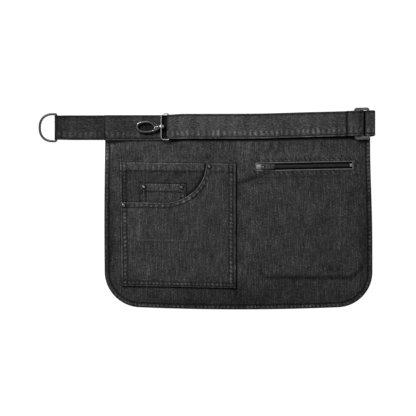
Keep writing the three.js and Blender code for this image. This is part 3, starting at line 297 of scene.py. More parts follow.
class Thread:
    def __init__(self, name):
        self.name = name
        self.places, self.faces, self.count = [], [], 0

    def sew(self, line, normals, pitch=None):  # the line lies on the cloth's face
        pitch = pitch or stitch["pitch"]
        run = runAlong(line)
        count = int(run[-1] // pitch)
        if count < 1:
            return
        starts = (run[-1] - count * pitch) / 2 + pitch * np.arange(count) + stitch["space"] / 2

        def at(distance, values):
            return np.stack([np.interp(distance, run, values[:, axis]) for axis in range(3)], 1)

        ups = unitRows(at(starts + pitch / 2, normals))
        begin, end = at(starts, line), at(starts + pitch - stitch["space"], line)
        along = end - begin
        beside = np.cross(ups, unitRows(along))
        middle = (begin + end) / 2 + ups * stitch["lift"]
        dip = np.where(stitchEnds, stitch["dive"], 0)
        for centre, way, side, up in zip(middle, along, beside, ups):
            points = centre + np.outer(stitchPlaces[:, 0], way) + np.outer(stitchPlaces[:, 1], side)
            points = points + np.outer(stitchPlaces[:, 2] - dip, up)
            self.places.append(points)
            self.faces += [[corner + self.count for corner in face] for face in stitchFaces]
            self.count += len(stitchPlaces)

    def finish(self, slotName):
        places = np.concatenate(self.places) * mm
        places[:, 2] = np.maximum(places[:, 2], 0)
        return finishPiece(meshPiece(self.name, places, self.faces), threadLook, slotName, "apron")


def offsetPath(path, inset, side):  # side 1 is to the left of the path's direction
    directions = unitRows(np.gradient(path, axis=0))
    return path + side * inset * np.stack([-directions[:, 1], directions[:, 0]], 1)


def resample(path, step=1.0):
    run = runAlong(path)
    marks = np.linspace(0, run[-1], max(2, int(run[-1] / step)))
    return np.stack([np.interp(marks, run, path[:, axis]) for axis in range(path.shape[1])], 1)


def sewPlan(thread, path, height, up=1, pitch=None):  # a row on cloth that lies flat
    path = resample(np.asarray(path, float))
    z = height(path[:, 0], path[:, 1])
    line = toWorld(path[:, 0], path[:, 1], z)
    thread.sew(line, np.tile([0.0, 0.0, float(up)], (len(line), 1)), pitch)


# Materials

class Sock:  # a socket that can stand in a sum
    def __init__(self, finish, socket):
        self.finish, self.socket = finish, socket

    def math(self, operation, *values):
        return self.finish.node("ShaderNodeMath", {"operation": operation}, dict(enumerate(values)))

    def __add__(self, other):
        return self.math("ADD", self, other)

    def __radd__(self, other):
        return self.math("ADD", other, self)

    def __sub__(self, other):
        return self.math("SUBTRACT", self, other)

    def __rsub__(self, other):
        return self.math("SUBTRACT", other, self)

    def __mul__(self, other):
        return self.math("MULTIPLY", self, other)

    def __rmul__(self, other):
        return self.math("MULTIPLY", other, self)


class Finish:
    def __init__(self, name, constants):
        self.material = bpy.data.materials.new(name)
        self.material.use_nodes = True
        self.tree = self.material.node_tree
        self.surface = self.tree.nodes["Principled BSDF"]
        for socket, value in constants.items():
            self.surface.inputs[socket].default_value = value

    def node(self, kind, settings=None, values=None, output=0):
        node = self.tree.nodes.new(kind)
        for setting, value in (settings or {}).items():
            if setting == "stops":
                ramp = node.color_ramp
                while len(ramp.elements) < len(value):
                    ramp.elements.new(0.5)
                for element, (place, grey) in zip(ramp.elements, value):
                    element.position = place
                    element.color = (grey, grey, grey, 1)
            else:
                setattr(node, setting, value)
        for socket, value in (values or {}).items():
            if isinstance(value, Sock):
                self.tree.links.new(value.socket, node.inputs[socket])
            else:
                node.inputs[socket].default_value = value
        return Sock(self, node.outputs[output])

    def ramp(self, value, stops):
        return self.node("ShaderNodeValToRGB", {"stops": stops}, {"Fac": value})

    def noise(self, place, scale, detail=2.0, roughness=0.5):
        return self.node(
            "ShaderNodeTexNoise",
            {"noise_dimensions": "3D"},
            {"Vector": place, "Scale": scale, "Detail": detail, "Roughness": roughness},
        )

    def stretched(self, place, x, y, z=1.0, turn=0.0):
        return self.node(
            "ShaderNodeMapping", None, {"Vector": place, "Scale": (x, y, z), "Rotation": (0, 0, turn)}
        )

    def feed(self, socket, value):
        self.tree.links.new(value.socket, self.surface.inputs[socket])

    def bump(self, height, strength, distance):
        raised = self.node(
            "ShaderNodeBump", None, {"Height": height, "Strength": strength, "Distance": distance}
        )
        self.feed("Normal", raised)


denimLook = {
    "stops": [(0.0, 0.003), (0.25, 0.0115), (0.5, 0.027), (0.75, 0.06), (1.0, 0.14)],
    "twillPitch": 0.0011,
    "twillTurn": 0.62,
    "yarn": 540,
    "yarnStretch": 0.075,
    "slub": 300,
    "slubStretch": 0.03,
    "grain": 470,
    "fleck": 900,
    "wearShadeShare": 0.2,
}


def makeDenim(name, tone=1.0, grainTurn=0.0, stretch=1.0, gain=1.0):
    denim = Finish(name, {"Roughness": 0.95, "Specular IOR Level": 0.1})
    uv = denim.node("ShaderNodeUVMap", {"uv_map": "weave"})
    # This attribute carries the cloth's wear together with painted shade and painted highlights, and darkens or
    # pales the denim.
    worn = denim.node("ShaderNodeAttribute", {"attribute_name": "worn"}, output=2)

    def along(share, scale, detail, roughness):  # noise drawn out along the yarns
        return denim.noise(denim.stretched(uv, 1, share, turn=grainTurn), scale, detail, roughness)

    yarns = along(denimLook["yarnStretch"] * stretch, denimLook["yarn"], 1.5, 0.6)
    slubs = along(denimLook["slubStretch"] * stretch, denimLook["slub"], 1.0, 0.5)
    grain = along(0.7, denimLook["grain"], 2.0, 0.65)
    flecks = along(0.4, denimLook["fleck"], 2.0, 0.6)
    wash = denim.noise(uv, 26, 3.0, 0.62)
    blotch = denim.noise(uv, 110, 2.0, 0.5)
    twill = denim.node(
        "ShaderNodeTexWave",
        {"wave_type": "BANDS", "bands_direction": "X", "wave_profile": "SIN"},
        {
            "Vector": denim.stretched(uv, 1, 1, turn=denimLook["twillTurn"]),
            "Scale": math.pi / (20 * denimLook["twillPitch"]),
            "Distortion": 0.6,
            "Detail": 1.0,
            "Detail Scale": 2.0,
        },
        output=1,
    )
    slubLines = denim.ramp(slubs, [(0.55, 0.0), (0.66, 1.0)])
    variation = (
        0.66 * (yarns - 0.5)
        + 0.07 * (slubLines - 0.2)
        + 1.05 * (grain - 0.5)
        + 0.45 * (flecks - 0.5)
        + 0.3 * (wash - 0.5)
        + 0.28 * (blotch - 0.5)
        + 0.14 * (twill - 0.5)
    )
    level = denim.ramp(
        0.5 + gain * variation + denimLook["wearShadeShare"] * worn,
        [(place, value * tone) for place, value in denimLook["stops"]],
    )
    denim.feed("Base Color", level)
    denim.bump(0.7 * twill + 0.6 * yarns + 0.5 * grain, 0.6, 0.0003)
    return denim.material


def makeThreadLook():
    thread = Finish("black_thread", {"Roughness": 0.62, "Specular IOR Level": 0.25})
    place = thread.node("ShaderNodeTexCoord", output=3)
    fuzz = thread.noise(place, 900, 2.0)
    thread.feed("Base Color", thread.ramp(fuzz, [(0.3, 0.004), (0.75, 0.014)]))
    return thread.material


def makeLining():
    lining = Finish("black_cotton", {"Roughness": 0.95})
    uv = lining.node("ShaderNodeUVMap", {"uv_map": "weave"})
    plain = lining.noise(uv, 900, 2.0)
    wash = lining.noise(uv, 30, 3.0)
    lining.feed("Base Color", lining.ramp(0.7 * plain + 0.3 * wash, [(0.3, 0.008), (0.7, 0.02)]))
    lining.bump(plain, 0.3, 0.0002)
    return lining.material


def makeTapeLook():
    tape = Finish("zip_tape", {"Roughness": 0.8, "Specular IOR Level": 0.1})
    uv = tape.node("ShaderNodeUVMap", {"uv_map": "weave"})
    ribs = tape.node(
        "ShaderNodeTexWave",
        {"wave_type": "BANDS", "bands_direction": "X"},
        {"Vector": tape.stretched(uv, 1, 1, turn=0.7), "Scale": 260.0, "Distortion": 0.4},
        output=1,
    )
    tape.feed("Base Color", tape.ramp(ribs, [(0.0, 0.001), (1.0, 0.0025)]))
    tape.bump(ribs, 0.4, 0.0002)
    return tape.material


def makeMetal(name, dark, pale, roughness, metallic=0.95, brushed=(1, 1, 1)):
    metal = Finish(name, {"Metallic": metallic})
    place = metal.node("ShaderNodeTexCoord", output=3)
    scratch = metal.noise(metal.stretched(place, *brushed), 700, 3.0, 0.65)
    cloud = metal.noise(place, 120, 2.0, 0.5)
    rubbed = metal.node("ShaderNodeNewGeometry", output=7)  # pointiness
    edge = metal.ramp(rubbed, [(0.5, 0.0), (0.62, 1.0)])
    shade = 0.5 * scratch + 0.35 * cloud + 0.3 * edge
    metal.feed("Base Color", metal.ramp(shade, [(0.28, dark), (0.75, pale)]))
    metal.feed("Roughness", roughness + 0.2 * (cloud - 0.5) + 0.14 * (scratch - 0.5))
    metal.bump(scratch, 0.12, 0.0001)
    return metal.material


panelDenim = makeDenim("panel_denim", 0.98, gain=1.15)
pocketDenim = makeDenim("pocket_denim", 0.97, gain=1.1)
bandDenim = makeDenim("band_denim", 1.12, math.pi / 2, 3.0)
threadLook = makeThreadLook()
lining = makeLining()
tapeLook = makeTapeLook()
gunmetal = makeMetal("dark_gunmetal", 0.008, 0.028, 0.5, 0.1)
rubbedMetal = makeMetal("rubbed_gunmetal", 0.12, 0.34, 0.26)
# A paler copy of the gunmetal, painted light: given to the swivel eye and the zip's slider so they read lit, and to
# the zip's end stop.
litGunmetal = makeMetal("lit_gunmetal", 0.35, 0.65, 0.3)
nickel = makeMetal("grey_nickel", 0.1, 0.26, 0.42, 0.9, (1, 0.12, 1))
zipMetal = makeMetal("black_zip_metal", 0.003, 0.01, 0.5, 0.1)
pullMetal = makeMetal("dark_pull_metal", 0.02, 0.07, 0.4, 0.7)
rivetMetal = makeMetal("rivet_metal", 0.07, 0.28, 0.32)
print("materials made")


# Panel: the main cloth with its turned hem, raised over the zipped pocket and let into the waistband

panel = {
    "width": 530.4,
    "drop": 338.8,
    "shift": 1.9,
    "flare": 4.6,
    "flareDrop": 210,
    "bow": 1.8,
    "hemBow": 8,
    "corner": 68,
    "hemWidth": 10.4,
    "grid": 2.1,
    "edgeLines": (0.4, 1.5, 3.2, 4.9, 6.5, 7.8, 8.9, 10.0),
    "zipLines": (0, 0.3, 0.9, 1.6, 2.6, 3.6, 5.2, 6.9, 8.2),
}
zipOpening = {"length": 192, "height": 13.4, "fromMiddle": 135.5, "fromWaist": 51.7, "turn": math.radians(1.15)}
bag = {"width": 215, "length": 242, "fromMiddle": 143, "fromWaist": 31.6, "corner": 34, "grid": 5}
bagBox = {
    "left": bag["fromMiddle"] - bag["width"] / 2,
    "right": bag["fromMiddle"] + bag["width"] / 2,
    "top": -bag["fromWaist"],
    "bottom": -bag["fromWaist"] - bag["length"],
}
bagEdge = {"slopeFrom": -1, "slopeTo": 6, "sides": 0.4}
zipHalf = zipOpening["length"] / 2, zipOpening["height"] / 2
zipBox = {"left": -zipHalf[0], "right": zipHalf[0], "bottom": -zipHalf[1], "top": zipHalf[1]}
tapeReach = {"past": 8, "half": 14}
tapeLow = layers["bag"] + layers["gap"]
tapeTop = tapeLow + layers["tape"]
creases = [  # across, down, slope, half length, half width, rise
    (0.055, 0.215, 24, 30, 11, 1.1),
    (0.045, 0.07, 88, 26, 10, 0.8),
    (0.27, 0.6, 75, 90, 55, 1.4),
    (-0.22, 0.93, 2, 110, 12, 0.9),
    (0.48, 0.42, 86, 70, 12, 1.2),
    (0.44, 0.9, 40, 34, 16, 1.6),
    (-0.47, 0.3, 92, 60, 10, 0.9),
    (0.16, 0.93, -3, 70, 11, 1.0),
    (0.03, 0.9, 55, 26, 7, 0.8),
    (0.09, 0.3, 12, 26, 6, 0.6),
    (-0.4, 0.13, 8, 30, 8, 0.5),
    (-0.02, 0.5, 88, 70, 9, 0.6),
]


def leftEdge(y):
    return panel["shift"] - panel["width"] / 2 - panel["bow"] * np.sin(np.pi * np.clip(-y / panel["drop"], 0, 1))


def rightEdge(y):
    return panel["shift"] + panel["width"] / 2 + panel["flare"] * ease(0, panel["flareDrop"], -y)


def bottomEdge(share):
    width = rightEdge(-panel["drop"]) - leftEdge(-panel["drop"])
    inCorner = np.maximum(0, panel["corner"] - np.minimum(share, 1 - share) * width)
    corner = panel["corner"] - np.sqrt(np.maximum(0, panel["corner"] ** 2 - inCorner**2))
    flat = -panel["drop"] + panel["hemBow"] * (2 * share - 1) ** 2
    return flat + corner * (panel["drop"] - panel["hemBow"]) / panel["drop"]


def panelPoint(share, drop):
    waist = band["tuck"] + climb((share - 0.5) * panel["width"])
    y = waist + (bottomEdge(share) - waist) * drop
    return leftEdge(y) + (rightEdge(y) - leftEdge(y)) * share, y


pocket = {
    "width": 230.8, "length": 246.4, "taper": 3.4, "fromLeft": 31, "fromWaist": 44.4, "droop": 3, "droopMore": 0.7,
    "grid": 2.1, "edgeLines": (0.4, 1.3),
}
pocketLeft = float(leftEdge(-pocket["fromWaist"])) + pocket["fromLeft"]
pocketBox = {"left": 0, "right": pocket["width"], "top": 0, "bottom": -pocket["length"]}


def onPocket(fromLeft, fromTop):
    across, down = fromLeft / pocket["width"], fromTop / pocket["length"]
    x = pocketLeft + fromLeft + pocket["taper"] * down * (1 - across)
    y = -pocket["fromWaist"] - fromTop - pocket["droop"] * across * (1 + pocket["droopMore"] * down)
    return x, y


def pocketPath(*corners):
    points = resample(np.array(corners, float), 2.0)
    return np.stack(onPocket(points[:, 0], points[:, 1]), 1)


def offPocket(x, y):  # back from the plan to the pocket's own distances
    fromLeft, fromTop = x - pocketLeft, -pocket["fromWaist"] - y
    for _ in range(4):
        across, down = fromLeft / pocket["width"], fromTop / pocket["length"]
        fromLeft = x - pocketLeft - pocket["taper"] * down * (1 - across)
        fromTop = -pocket["fromWaist"] - y - pocket["droop"] * across * (1 + pocket["droopMore"] * down)
    return fromLeft, fromTop


def inZip(x, y):  # along and across the zip
    turn = zipOpening["turn"]
    dx, dy = x - zipOpening["fromMiddle"], y + zipOpening["fromWaist"]
    return dx * math.cos(turn) + dy * math.sin(turn), dy * math.cos(turn) - dx * math.sin(turn)


def fromZip(along, across):  # and back
    turn = zipOpening["turn"]
    x = zipOpening["fromMiddle"] + along * math.cos(turn) - across * math.sin(turn)
    y = -zipOpening["fromWaist"] + along * math.sin(turn) + across * math.cos(turn)
    return x, y


def zipDistance(x, y):
    return boxDistance(*inZip(x, y), zipBox)


def overBag(x, y):  # distance outside the bag's edge
    return boxDistance(x, y, bagBox, bag["corner"], bagEdge["sides"])


def panelLow(x, y):
    gap, hem = layers["gap"], layers["hem"]
    fromWaist = y - climb(x)
    waist = (bandMiddle - layers["panel"] / 2 - hem) * ease(-28, -4, fromWaist)
    bagShare = 1 - ease(bagEdge["slopeFrom"], bagEdge["slopeTo"], overBag(x, y))
    bagRise = (layers["bag"] + gap - hem) * bagShare
    along, across = inZip(x, y)
    half = zipHalf[0] + tapeReach["past"]
    tapeBox = {"left": -half, "right": half, "bottom": -tapeReach["half"], "top": tapeReach["half"]}
    fromTape = boxDistance(along, across, tapeBox)
    overTape = (tapeTop - layers["bag"]) * (1 - ease(2, 14, fromTape))
    free = ease(0, 34, fromTape) * (1 - ease(-20, -6, fromWaist))
    crease = np.zeros(np.shape(x))
    for acrossShare, down, slope, length, width, rise in creases:
        dx, dy = x - acrossShare * panel["width"], y + down * panel["drop"]
        crease = crease + rise * spot(dx, dy, slope, length, width)
    loose = 0.5 * dapple(x / 34 + 7, y / 52 + 3, 11) + 0.25 * dapple(x / 15, y / 26, 12)
    return hem + np.maximum(waist, bagRise + overTape) + (crease + loose) * free


patches = [  # x, y, slope, half length, half width, amount: patches painted darker or paler; the wash's mottling, painted shade in the dark strips along the lower and right edges, below the zip and on the crease off its left end, and a darker strip down the left edge
    (-215, -36, 4, 28, 8, -0.7),
    (-254, -20, 70, 16, 9, 0.6),
    (22, -20, 82, 20, 7, 0.7),
    (-2, -100, 88, 16, 7, -0.8),
    (6, -170, 95, 20, 8, -0.5),
    (3, -300, 40, 20, 14, -0.6),
    (26, -78, 18, 30, 4.5, -1.6),
    (126, -73, 2, 62, 4, -0.7),
    (-63, -34, 2, 28, 6, -0.5),
    (226, -130, 84, 24, 9, -0.6),
    (150, -22, 5, 60, 10, 0.35),
    (-256, -200, 90, 110, 12, -1.2),
    (-20, -318, 0, 230, 30, -0.8),
    (258, -200, 90, 110, 14, -0.7),
    (20, -235, 88, 60, 8, 0.35),
]
panelOutline = np.array(
    [panelPoint(0, drop) for drop in np.linspace(0.04, 1, 150)]
    + [panelPoint(share, 1) for share in np.concatenate([
        (1 - np.cos(np.linspace(0, math.pi / 2, 30)[1:])) * panel["corner"] / panel["width"],
        np.linspace(panel["corner"] / panel["width"], 1 - panel["corner"] / panel["width"], 60)[1:],
        1 - (1 - np.cos(np.linspace(math.pi / 2, 0, 30)[1:])) * panel["corner"] / panel["width"],
    ])]
    + [panelPoint(1, drop) for drop in np.linspace(1, 0.04, 150)[1:]],
    float,
)
panelShade = {  # painted shade under the waistband, beside the pocket and along the bag's foot, and a pale line on the zip's lips that is rubbed wear and a painted highlight: how much, and over how wide a strip
    "lip": (3.4, 1.0),
    "bag": (1.3, 3.9),
    "waist": (1.2, 1.9),
    "waistCorner": (3.6, 0.8),
    "pocket": (1.8, 1.5),
    "pocketRight": (1.4, 0.7),
}
# The hem's stitch groove and its outer edge (the negative edge) are painted in shade.
hemSeam = {
    "path": panelOutline, "rows": (8.9,), "ropeFrom": 0.9, "ropeTo": 8.4, "puff": 0.6, "period": 7.8,
    "seed": 21, "slant": 0.3, "wear": 0.85, "edge": -1.2, "sink": 0.3, "dark": 2.9,
}
zipSeam = {
    "rows": (2.6, 6.9), "ropeFrom": 3, "ropeTo": 10.5, "puff": 0.42, "period": 9.5, "seed": 31,
    "slant": 0.1, "wear": 0.75, "edge": 0, "dark": 1.0,
}


def hemShare(distance):
    return 1 - ease(panel["hemWidth"] - 0.9, panel["hemWidth"] + 0.9, distance)


def panelTop(x, y):  # height of the panel's face, and its wear with painted shade and highlights
    hemDistance, hemAlong = nearest(x, y, panelOutline)
    fromWaist = y - climb(x)
    below = ease(2, -3, fromWaist)
    rise, worn = seamRelief(hemDistance, hemAlong, hemSeam)
    rise, worn = rise * below, worn * below
    hem = layers["hem"] * hemShare(hemDistance) * below
    away = zipDistance(x, y)
    along, across = inZip(x, y)
    around = along + across * 0.8
    zipRise, zipWearShade = seamRelief(away, around, zipSeam)
    lip = 0.75 * bell(away - 1.0, 1.1) + 0.25 * (1 - ease(5.8, 7.4, away))
    nearZip = away < 30
    rise = rise + np.where(nearZip, zipRise + lip, 0)
    # The zip's lips are painted pale: rubbed wear and a painted highlight.
    lipPale, lipWidth = panelShade["lip"]
    worn = worn + np.where(nearZip, zipWearShade + lipPale * bell(away - 1.0, lipWidth), 0)
    # Painted shade just outside the bag's lower edge.
    foot = ease(-225, -262, y) * (0.25 + 0.75 * ease(40, 64, x)) * (0.6 + 0.6 * wobble(x / 12 + 40, 23))
    bagDark, bagWidth = panelShade["bag"]
    worn = worn - bagDark * bell(overBag(x, y) - 1.0, bagWidth) * foot
    # Painted shadow under the waistband's lower edge, deeper and wider towards its ends.
    corner = ease(-212, -250, x) + 0.5 * ease(150, 250, x)
    dark, width = [a + b * corner for a, b in zip(panelShade["waist"], panelShade["waistCorner"])]
    worn = worn - dark * bell(fromWaist + 1.2 + 1.8 * corner, width)
    # Painted shade round the pocket's edges, wider at its right side.
    fromLeft, fromTop = offPocket(x, y)
    pocketAway = boxDistance(fromLeft, -fromTop, pocketBox)
    right = ease(pocket["width"] - 4, pocket["width"], fromLeft)
    dark, width = [a + b * right for a, b in zip(panelShade["pocket"], panelShade["pocketRight"])]
    worn = worn - dark * bell(np.maximum(pocketAway, 0), width)
    # The patches listed above: the wash's mottling and painted shade.
    for patchX, patchY, slope, length, width, amount in patches:
        worn = worn + amount * spot(x - patchX, y - patchY, slope, length, width)
    return panelLow(x, y) + layers["panel"] + hem + rise, worn


def makePanel():
    lines = [0, *panel["edgeLines"]]
    width = panel["width"] + panel["flare"]
    zipY = -zipOpening["fromWaist"]
    zipColumns = [zipOpening["fromMiddle"] + side * (zipHalf[0] + r) for side in (-1, 1) for r in panel["zipLines"]]
    zipRows = [zipY + side * (zipHalf[1] + r) for side in (-1, 1) for r in panel["zipLines"]]
    spanX = rightEdge(zipY) - leftEdge(zipY)
    keptShares = [(x - leftEdge(zipY)) / spanX for x in zipColumns]
    edgeShares = fromBothEnds(0, 1, [line / width for line in lines])
    shares = linesBetween(0, 1, panel["grid"] / width, [*edgeShares, *keptShares])
    zipShare = (zipOpening["fromMiddle"] - leftEdge(zipY)) / spanX
    waist = band["tuck"] + climb((zipShare - 0.5) * panel["width"])
    depth = waist - bottomEdge(zipShare)
    keptDrops = [*[1 - line / depth for line in lines], *[(waist - y) / depth for y in zipRows]]
    drops = linesBetween(0, 1, panel["grid"] / depth, keptDrops)
    share, drop = np.meshgrid(shares, drops)
    x, y = panelPoint(share, drop)
    # Round the zip the grid follows the opening's own slope.
    plainX = leftEdge(zipY) + spanX * share
    plainY = waist - depth * drop
    dx, dy = plainX - zipOpening["fromMiddle"], plainY - zipY
    alignedX, alignedY = fromZip(dx, dy)
    follow = 1 - ease(8, 26, boxDistance(dx, dy, zipBox))
    x, y = x + (alignedX - x) * follow, y + (alignedY - y) * follow
    centreX = (share[:-1, :-1] + share[1:, 1:]) / 2 * spanX + leftEdge(zipY) - zipOpening["fromMiddle"]
    centreY = waist - depth * (drop[:-1, :-1] + drop[1:, 1:]) / 2 - zipY
    kept = ~((np.abs(centreX) < zipHalf[0] - 0.01) & (np.abs(centreY) < zipHalf[1] - 0.01))
    top, worn = panelTop(x, y)
    low = panelLow(x, y)
    outline = nearest(x, y, panelOutline)[0]
    low = low - layers["hem"] * hemShare(outline) * ease(2, -3, y)
    edge = roundOff(outline, 1.0) + roundOff(np.maximum(zipDistance(x, y), 0), 0.85)
    middle = (top + low) / 2
    top, low = np.maximum(top - edge, middle + 0.06), np.minimum(low + edge * 0.9, middle - 0.06)
    uv = np.stack([x, y], -1)
    piece = clothPiece("panel_cloth", toWorld(x, y, top), toWorld(x, y, low), uv, worn, worn * 0.5, kept)
    return finishPiece(piece, panelDenim, "denim", "apron", "apron_panel")


panelCloth = makePanel()
print("panel made with", len(panelCloth.data.polygons), "faces")


# Patch pocket: the yoke behind, the coin pocket on it, and the scooped front

scoop = {"depth": 80, "width": 172, "round": 88, "lift": 1.4, "liftRun": 30}
coin = {"width": 90.6, "length": 111, "fromLeft": 40.2, "fromTop": 42, "edge": 1.5}
coinLeft, coinRight = coin["fromLeft"], coin["fromLeft"] + coin["width"]
coinHigh, coinFoot = coin["fromTop"], coin["fromTop"] + coin["length"]
coinBox = {
    "left": coinLeft - coin["edge"],
    "right": coinRight + coin["edge"],
    "top": -coinHigh + coin["edge"],
    "bottom": -coinFoot - coin["edge"],
}


def scoopAt(fromLeft):
    share = np.maximum(0, (fromLeft - (scoop["width"] - scoop["round"])) / scoop["round"])
    return np.where(fromLeft >= scoop["width"], 0, scoop["depth"] * np.sqrt(np.maximum(0, 1 - share**2)))


pocketSides = {
    "left": pocketPath((0, 0), (0, pocket["length"])),
    "right": pocketPath((pocket["width"], 0), (pocket["width"], pocket["length"])),
    "bottom": pocketPath((0, pocket["length"]), (pocket["width"], pocket["length"])),
    "top": pocketPath((0, 0), (pocket["width"], 0)),
}


def seamOn(path, rows, rope, seed, **look):  # rope is the strip that puckers
    return {"path": path, "rows": rows, "ropeFrom": rope[0], "ropeTo": rope[1], "seed": seed, **look}


sideLook = {"puff": 0.55, "period": 8.0, "wear": 0.85, "edge": 1.5, "step": 0.35}
leftSeam = seamOn(pocketSides["left"], (3.6, 11.2), (2.6, 12.4), 41, **sideLook)
rightSeam = seamOn(pocketSides["right"], (5.6, 13.0), (4.6, 14.4), 43, **sideLook)
bottomSeam = seamOn(pocketSides["bottom"], (3.0, 9.4), (1.4, 10.4), 45, **sideLook)
topSeam = seamOn(
    pocketSides["top"], (16.4,), (3.5, 14.5), 47, puff=0.35, period=11, wear=0.5, edge=1.3, step=0.5, slant=0.1
)
arcTurns = np.radians(np.linspace(0, 90, 60))
scoopLine = np.array(
    [(0, scoop["depth"]), (scoop["width"] - scoop["round"], scoop["depth"])]
    + [
        (scoop["width"] - scoop["round"] * (1 - math.sin(turn)), scoop["depth"] * math.cos(turn))
        for turn in arcTurns[1:]
    ]
)
scoopPath = np.stack(onPocket(*resample(scoopLine, 1.5).T), 1)
scoopSeam = seamOn(
    scoopPath, (2.2, 9.0), (1.6, 10.4), 51, puff=0.5, period=10.5, wear=0.8, edge=2.4, step=0.3, dark=1.5
)
coinRows, coinTopRow = (2.4, 9.6), 15.6
coinLook = {"puff": 0.42, "period": 8, "edge": 0.7, "step": 0.35}
coinSides = {
    "left": pocketPath((coinLeft, coinHigh), (coinLeft, coinFoot)),
    "right": pocketPath((coinRight, coinHigh), (coinRight, coinFoot)),
    "top": pocketPath((coinLeft, coinHigh), (coinRight, coinHigh)),
}
coinSeams = [
    seamOn(coinSides["left"], coinRows, (1.6, 10.6), 61, wear=0.65, **coinLook),
    seamOn(coinSides["right"], coinRows, (1.6, 10.6), 63, wear=0.65, **coinLook),
    seamOn(coinSides["top"], (coinTopRow,), (3, 13.5), 65, slant=0.1, wear=0.55, **coinLook),
]
rivetNodes = ("rivet_coin_left", "rivet_coin_right", "rivet_scoop_left", "rivet_scoop_top")


def yokeBase(x, y):
    return panelLow(x, y) + layers["panel"] + layers["gap"] + layers["pocket"]


def yokeLow(x, y):
    return yokeBase(x, y) - layers["pocket"]


def yokeTop(x, y):
    rise, worn = reliefOf(x, y, [leftSeam, rightSeam, bottomSeam, topSeam])
    fromLeft, fromTop = offPocket(x, y)
    shown = 1 - ease(scoop["depth"] + 4, scoop["depth"] + 16, fromTop)
    scoopAway = nearest(x, y, scoopPath)[0]
    steep = ease(scoop["width"] - scoop["round"], scoop["width"] - 30, fromLeft)
    worn = worn - (1.9 + 2.6 * steep) * bell(scoopAway, 1.8 + 2.0 * steep)  # the mouth is in shade
    # Painted shade round the coin pocket's edges.
    worn = worn - 1.3 * bell(np.maximum(boxDistance(fromLeft, -fromTop, coinBox), 0), 1.6)
    # The yoke below its top row is painted darker, painted shade inside the pocket, and darker still along its left
    # seam.
    column = (1 - ease(10.5, 12.5, fromLeft)) * ease(1.5, 3.5, fromLeft)
    worn = worn - (0.5 + 0.4 * column) * ease(17, 19, fromTop)
    return yokeBase(x, y) + rise * shown, worn


# The cloth is pressed flat round a rivet, and the rivet's shade falls to the lower right.
rivetRound = {"flat": (3, 6.5), "dark": 3.2, "at": 2.9, "width": 1.5, "shift": 1.1}


def rivetPress(x, y):  # how free the cloth is to pucker, and its shade
    away = np.full(np.shape(x), 50.0)
    for node in rivetNodes:
        low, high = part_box(node)
        dx = x - (low.x + high.x) / 2 / mm + waistX - rivetRound["shift"]
        dy = y - (low.y + high.y) / 2 / mm + waistY + rivetRound["shift"]
        away = np.minimum(away, np.hypot(dx, dy))
    return ease(*rivetRound["flat"], away), -rivetRound["dark"] * bell(away - rivetRound["at"], rivetRound["width"])


def coinLow(x, y):
    return yokeBase(x, y) + layers["gap"]


def coinTop(x, y):
    rise, worn = reliefOf(x, y, coinSeams)
    pressed, shade = rivetPress(x, y)
    rise, worn = rise * pressed, worn * pressed + shade
    fromLeft, fromTop = offPocket(x, y)
    shown = 1 - ease(scoop["depth"] - 4, scoop["depth"] + 6, fromTop)
    # Painted shade along the scoop's edge, where the front's mouth opens over the coin pocket.
    worn = worn - 1.3 * bell(nearest(x, y, scoopPath)[0], 1.8)
    return yokeBase(x, y) + layers["gap"] + layers["pocket"] + rise * shown, worn


frontCreases = [  # from left, from top, slope, half length, half width, rise
    (190, 205, 62, 40, 9, 0.8),
    (150, 225, 58, 30, 8, 0.6),
    (196, 96, 40, 34, 8, 0.7),
    (210, 150, 85, 50, 9, 0.5),
    (60, 190, 95, 60, 16, 0.4),
    (110, 150, 20, 50, 14, 0.4),
    (176, 130, 50, 30, 7, 0.4),
]


def frontBase(x, y):
    fromLeft, fromTop = offPocket(x, y)
    lift = layers["pocket"] + layers["gap"]
    overCoin = lift * (1 - ease(0, 5.5, boxDistance(fromLeft, -fromTop, coinBox)))
    steep = ease(scoop["width"] - scoop["round"], scoop["width"] - 18, fromLeft)
    past = 1 - ease(3, scoop["liftRun"], fromLeft - scoop["width"])
    lip = scoop["lift"] * steep * past * (1 - ease(3, scoop["liftRun"], fromTop - scoopAt(fromLeft)))
    crease = np.zeros(np.shape(x))
    for across, down, slope, length, width, rise in frontCreases:
        crease = crease + rise * spot(fromLeft - across, down - fromTop, slope, length, width)
    inside = ease(0, 26, -boxDistance(fromLeft, -fromTop, pocketBox))
    slack = 0.9 * dapple(x / 38, y / 50, 15) * inside
    return yokeBase(x, y) + layers["gap"] + np.maximum(overCoin, lip) + crease * inside + slack


def frontTop(x, y):
    rise, worn = reliefOf(x, y, [leftSeam, rightSeam, bottomSeam, scoopSeam])
    fromLeft, fromTop = offPocket(x, y)
    pressed, shade = rivetPress(x, y)
    right = ease(scoop["width"] - 6, scoop["width"] + 6, fromLeft)
    topRise, topWearShade = seamRelief(*nearest(x, y, topSeam["path"]), topSeam)
    coinAway = boxDistance(fromLeft, -fromTop, coinBox)
    coinMark = 0.8 * bell(coinAway - 0.5, 1.5) * ease(90, 130, fromTop)
    worn = (worn + topWearShade * right) * pressed + shade + coinMark
    return frontBase(x, y) + layers["pocket"] + (rise + topRise * right) * pressed, worn


def pocketLayer(name, node, fromLeft, fromTop, top, base, border):
    x, y = onPocket(fromLeft, fromTop)
    high, worn = top(x, y)
    low = base(x, y)
    edge = roundOff(np.maximum(border, 0), 0.6)
    high, low = np.maximum(high - edge, low + layers["pocket"] * 0.3), low + edge * 0.35
    piece = clothPiece(name, toWorld(x, y, high), toWorld(x, y, low), np.stack([x, y], -1), worn)
    return finishPiece(piece, pocketDenim, "denim", "apron", node)


def lowest(*distances):
    return np.minimum.reduce(distances)


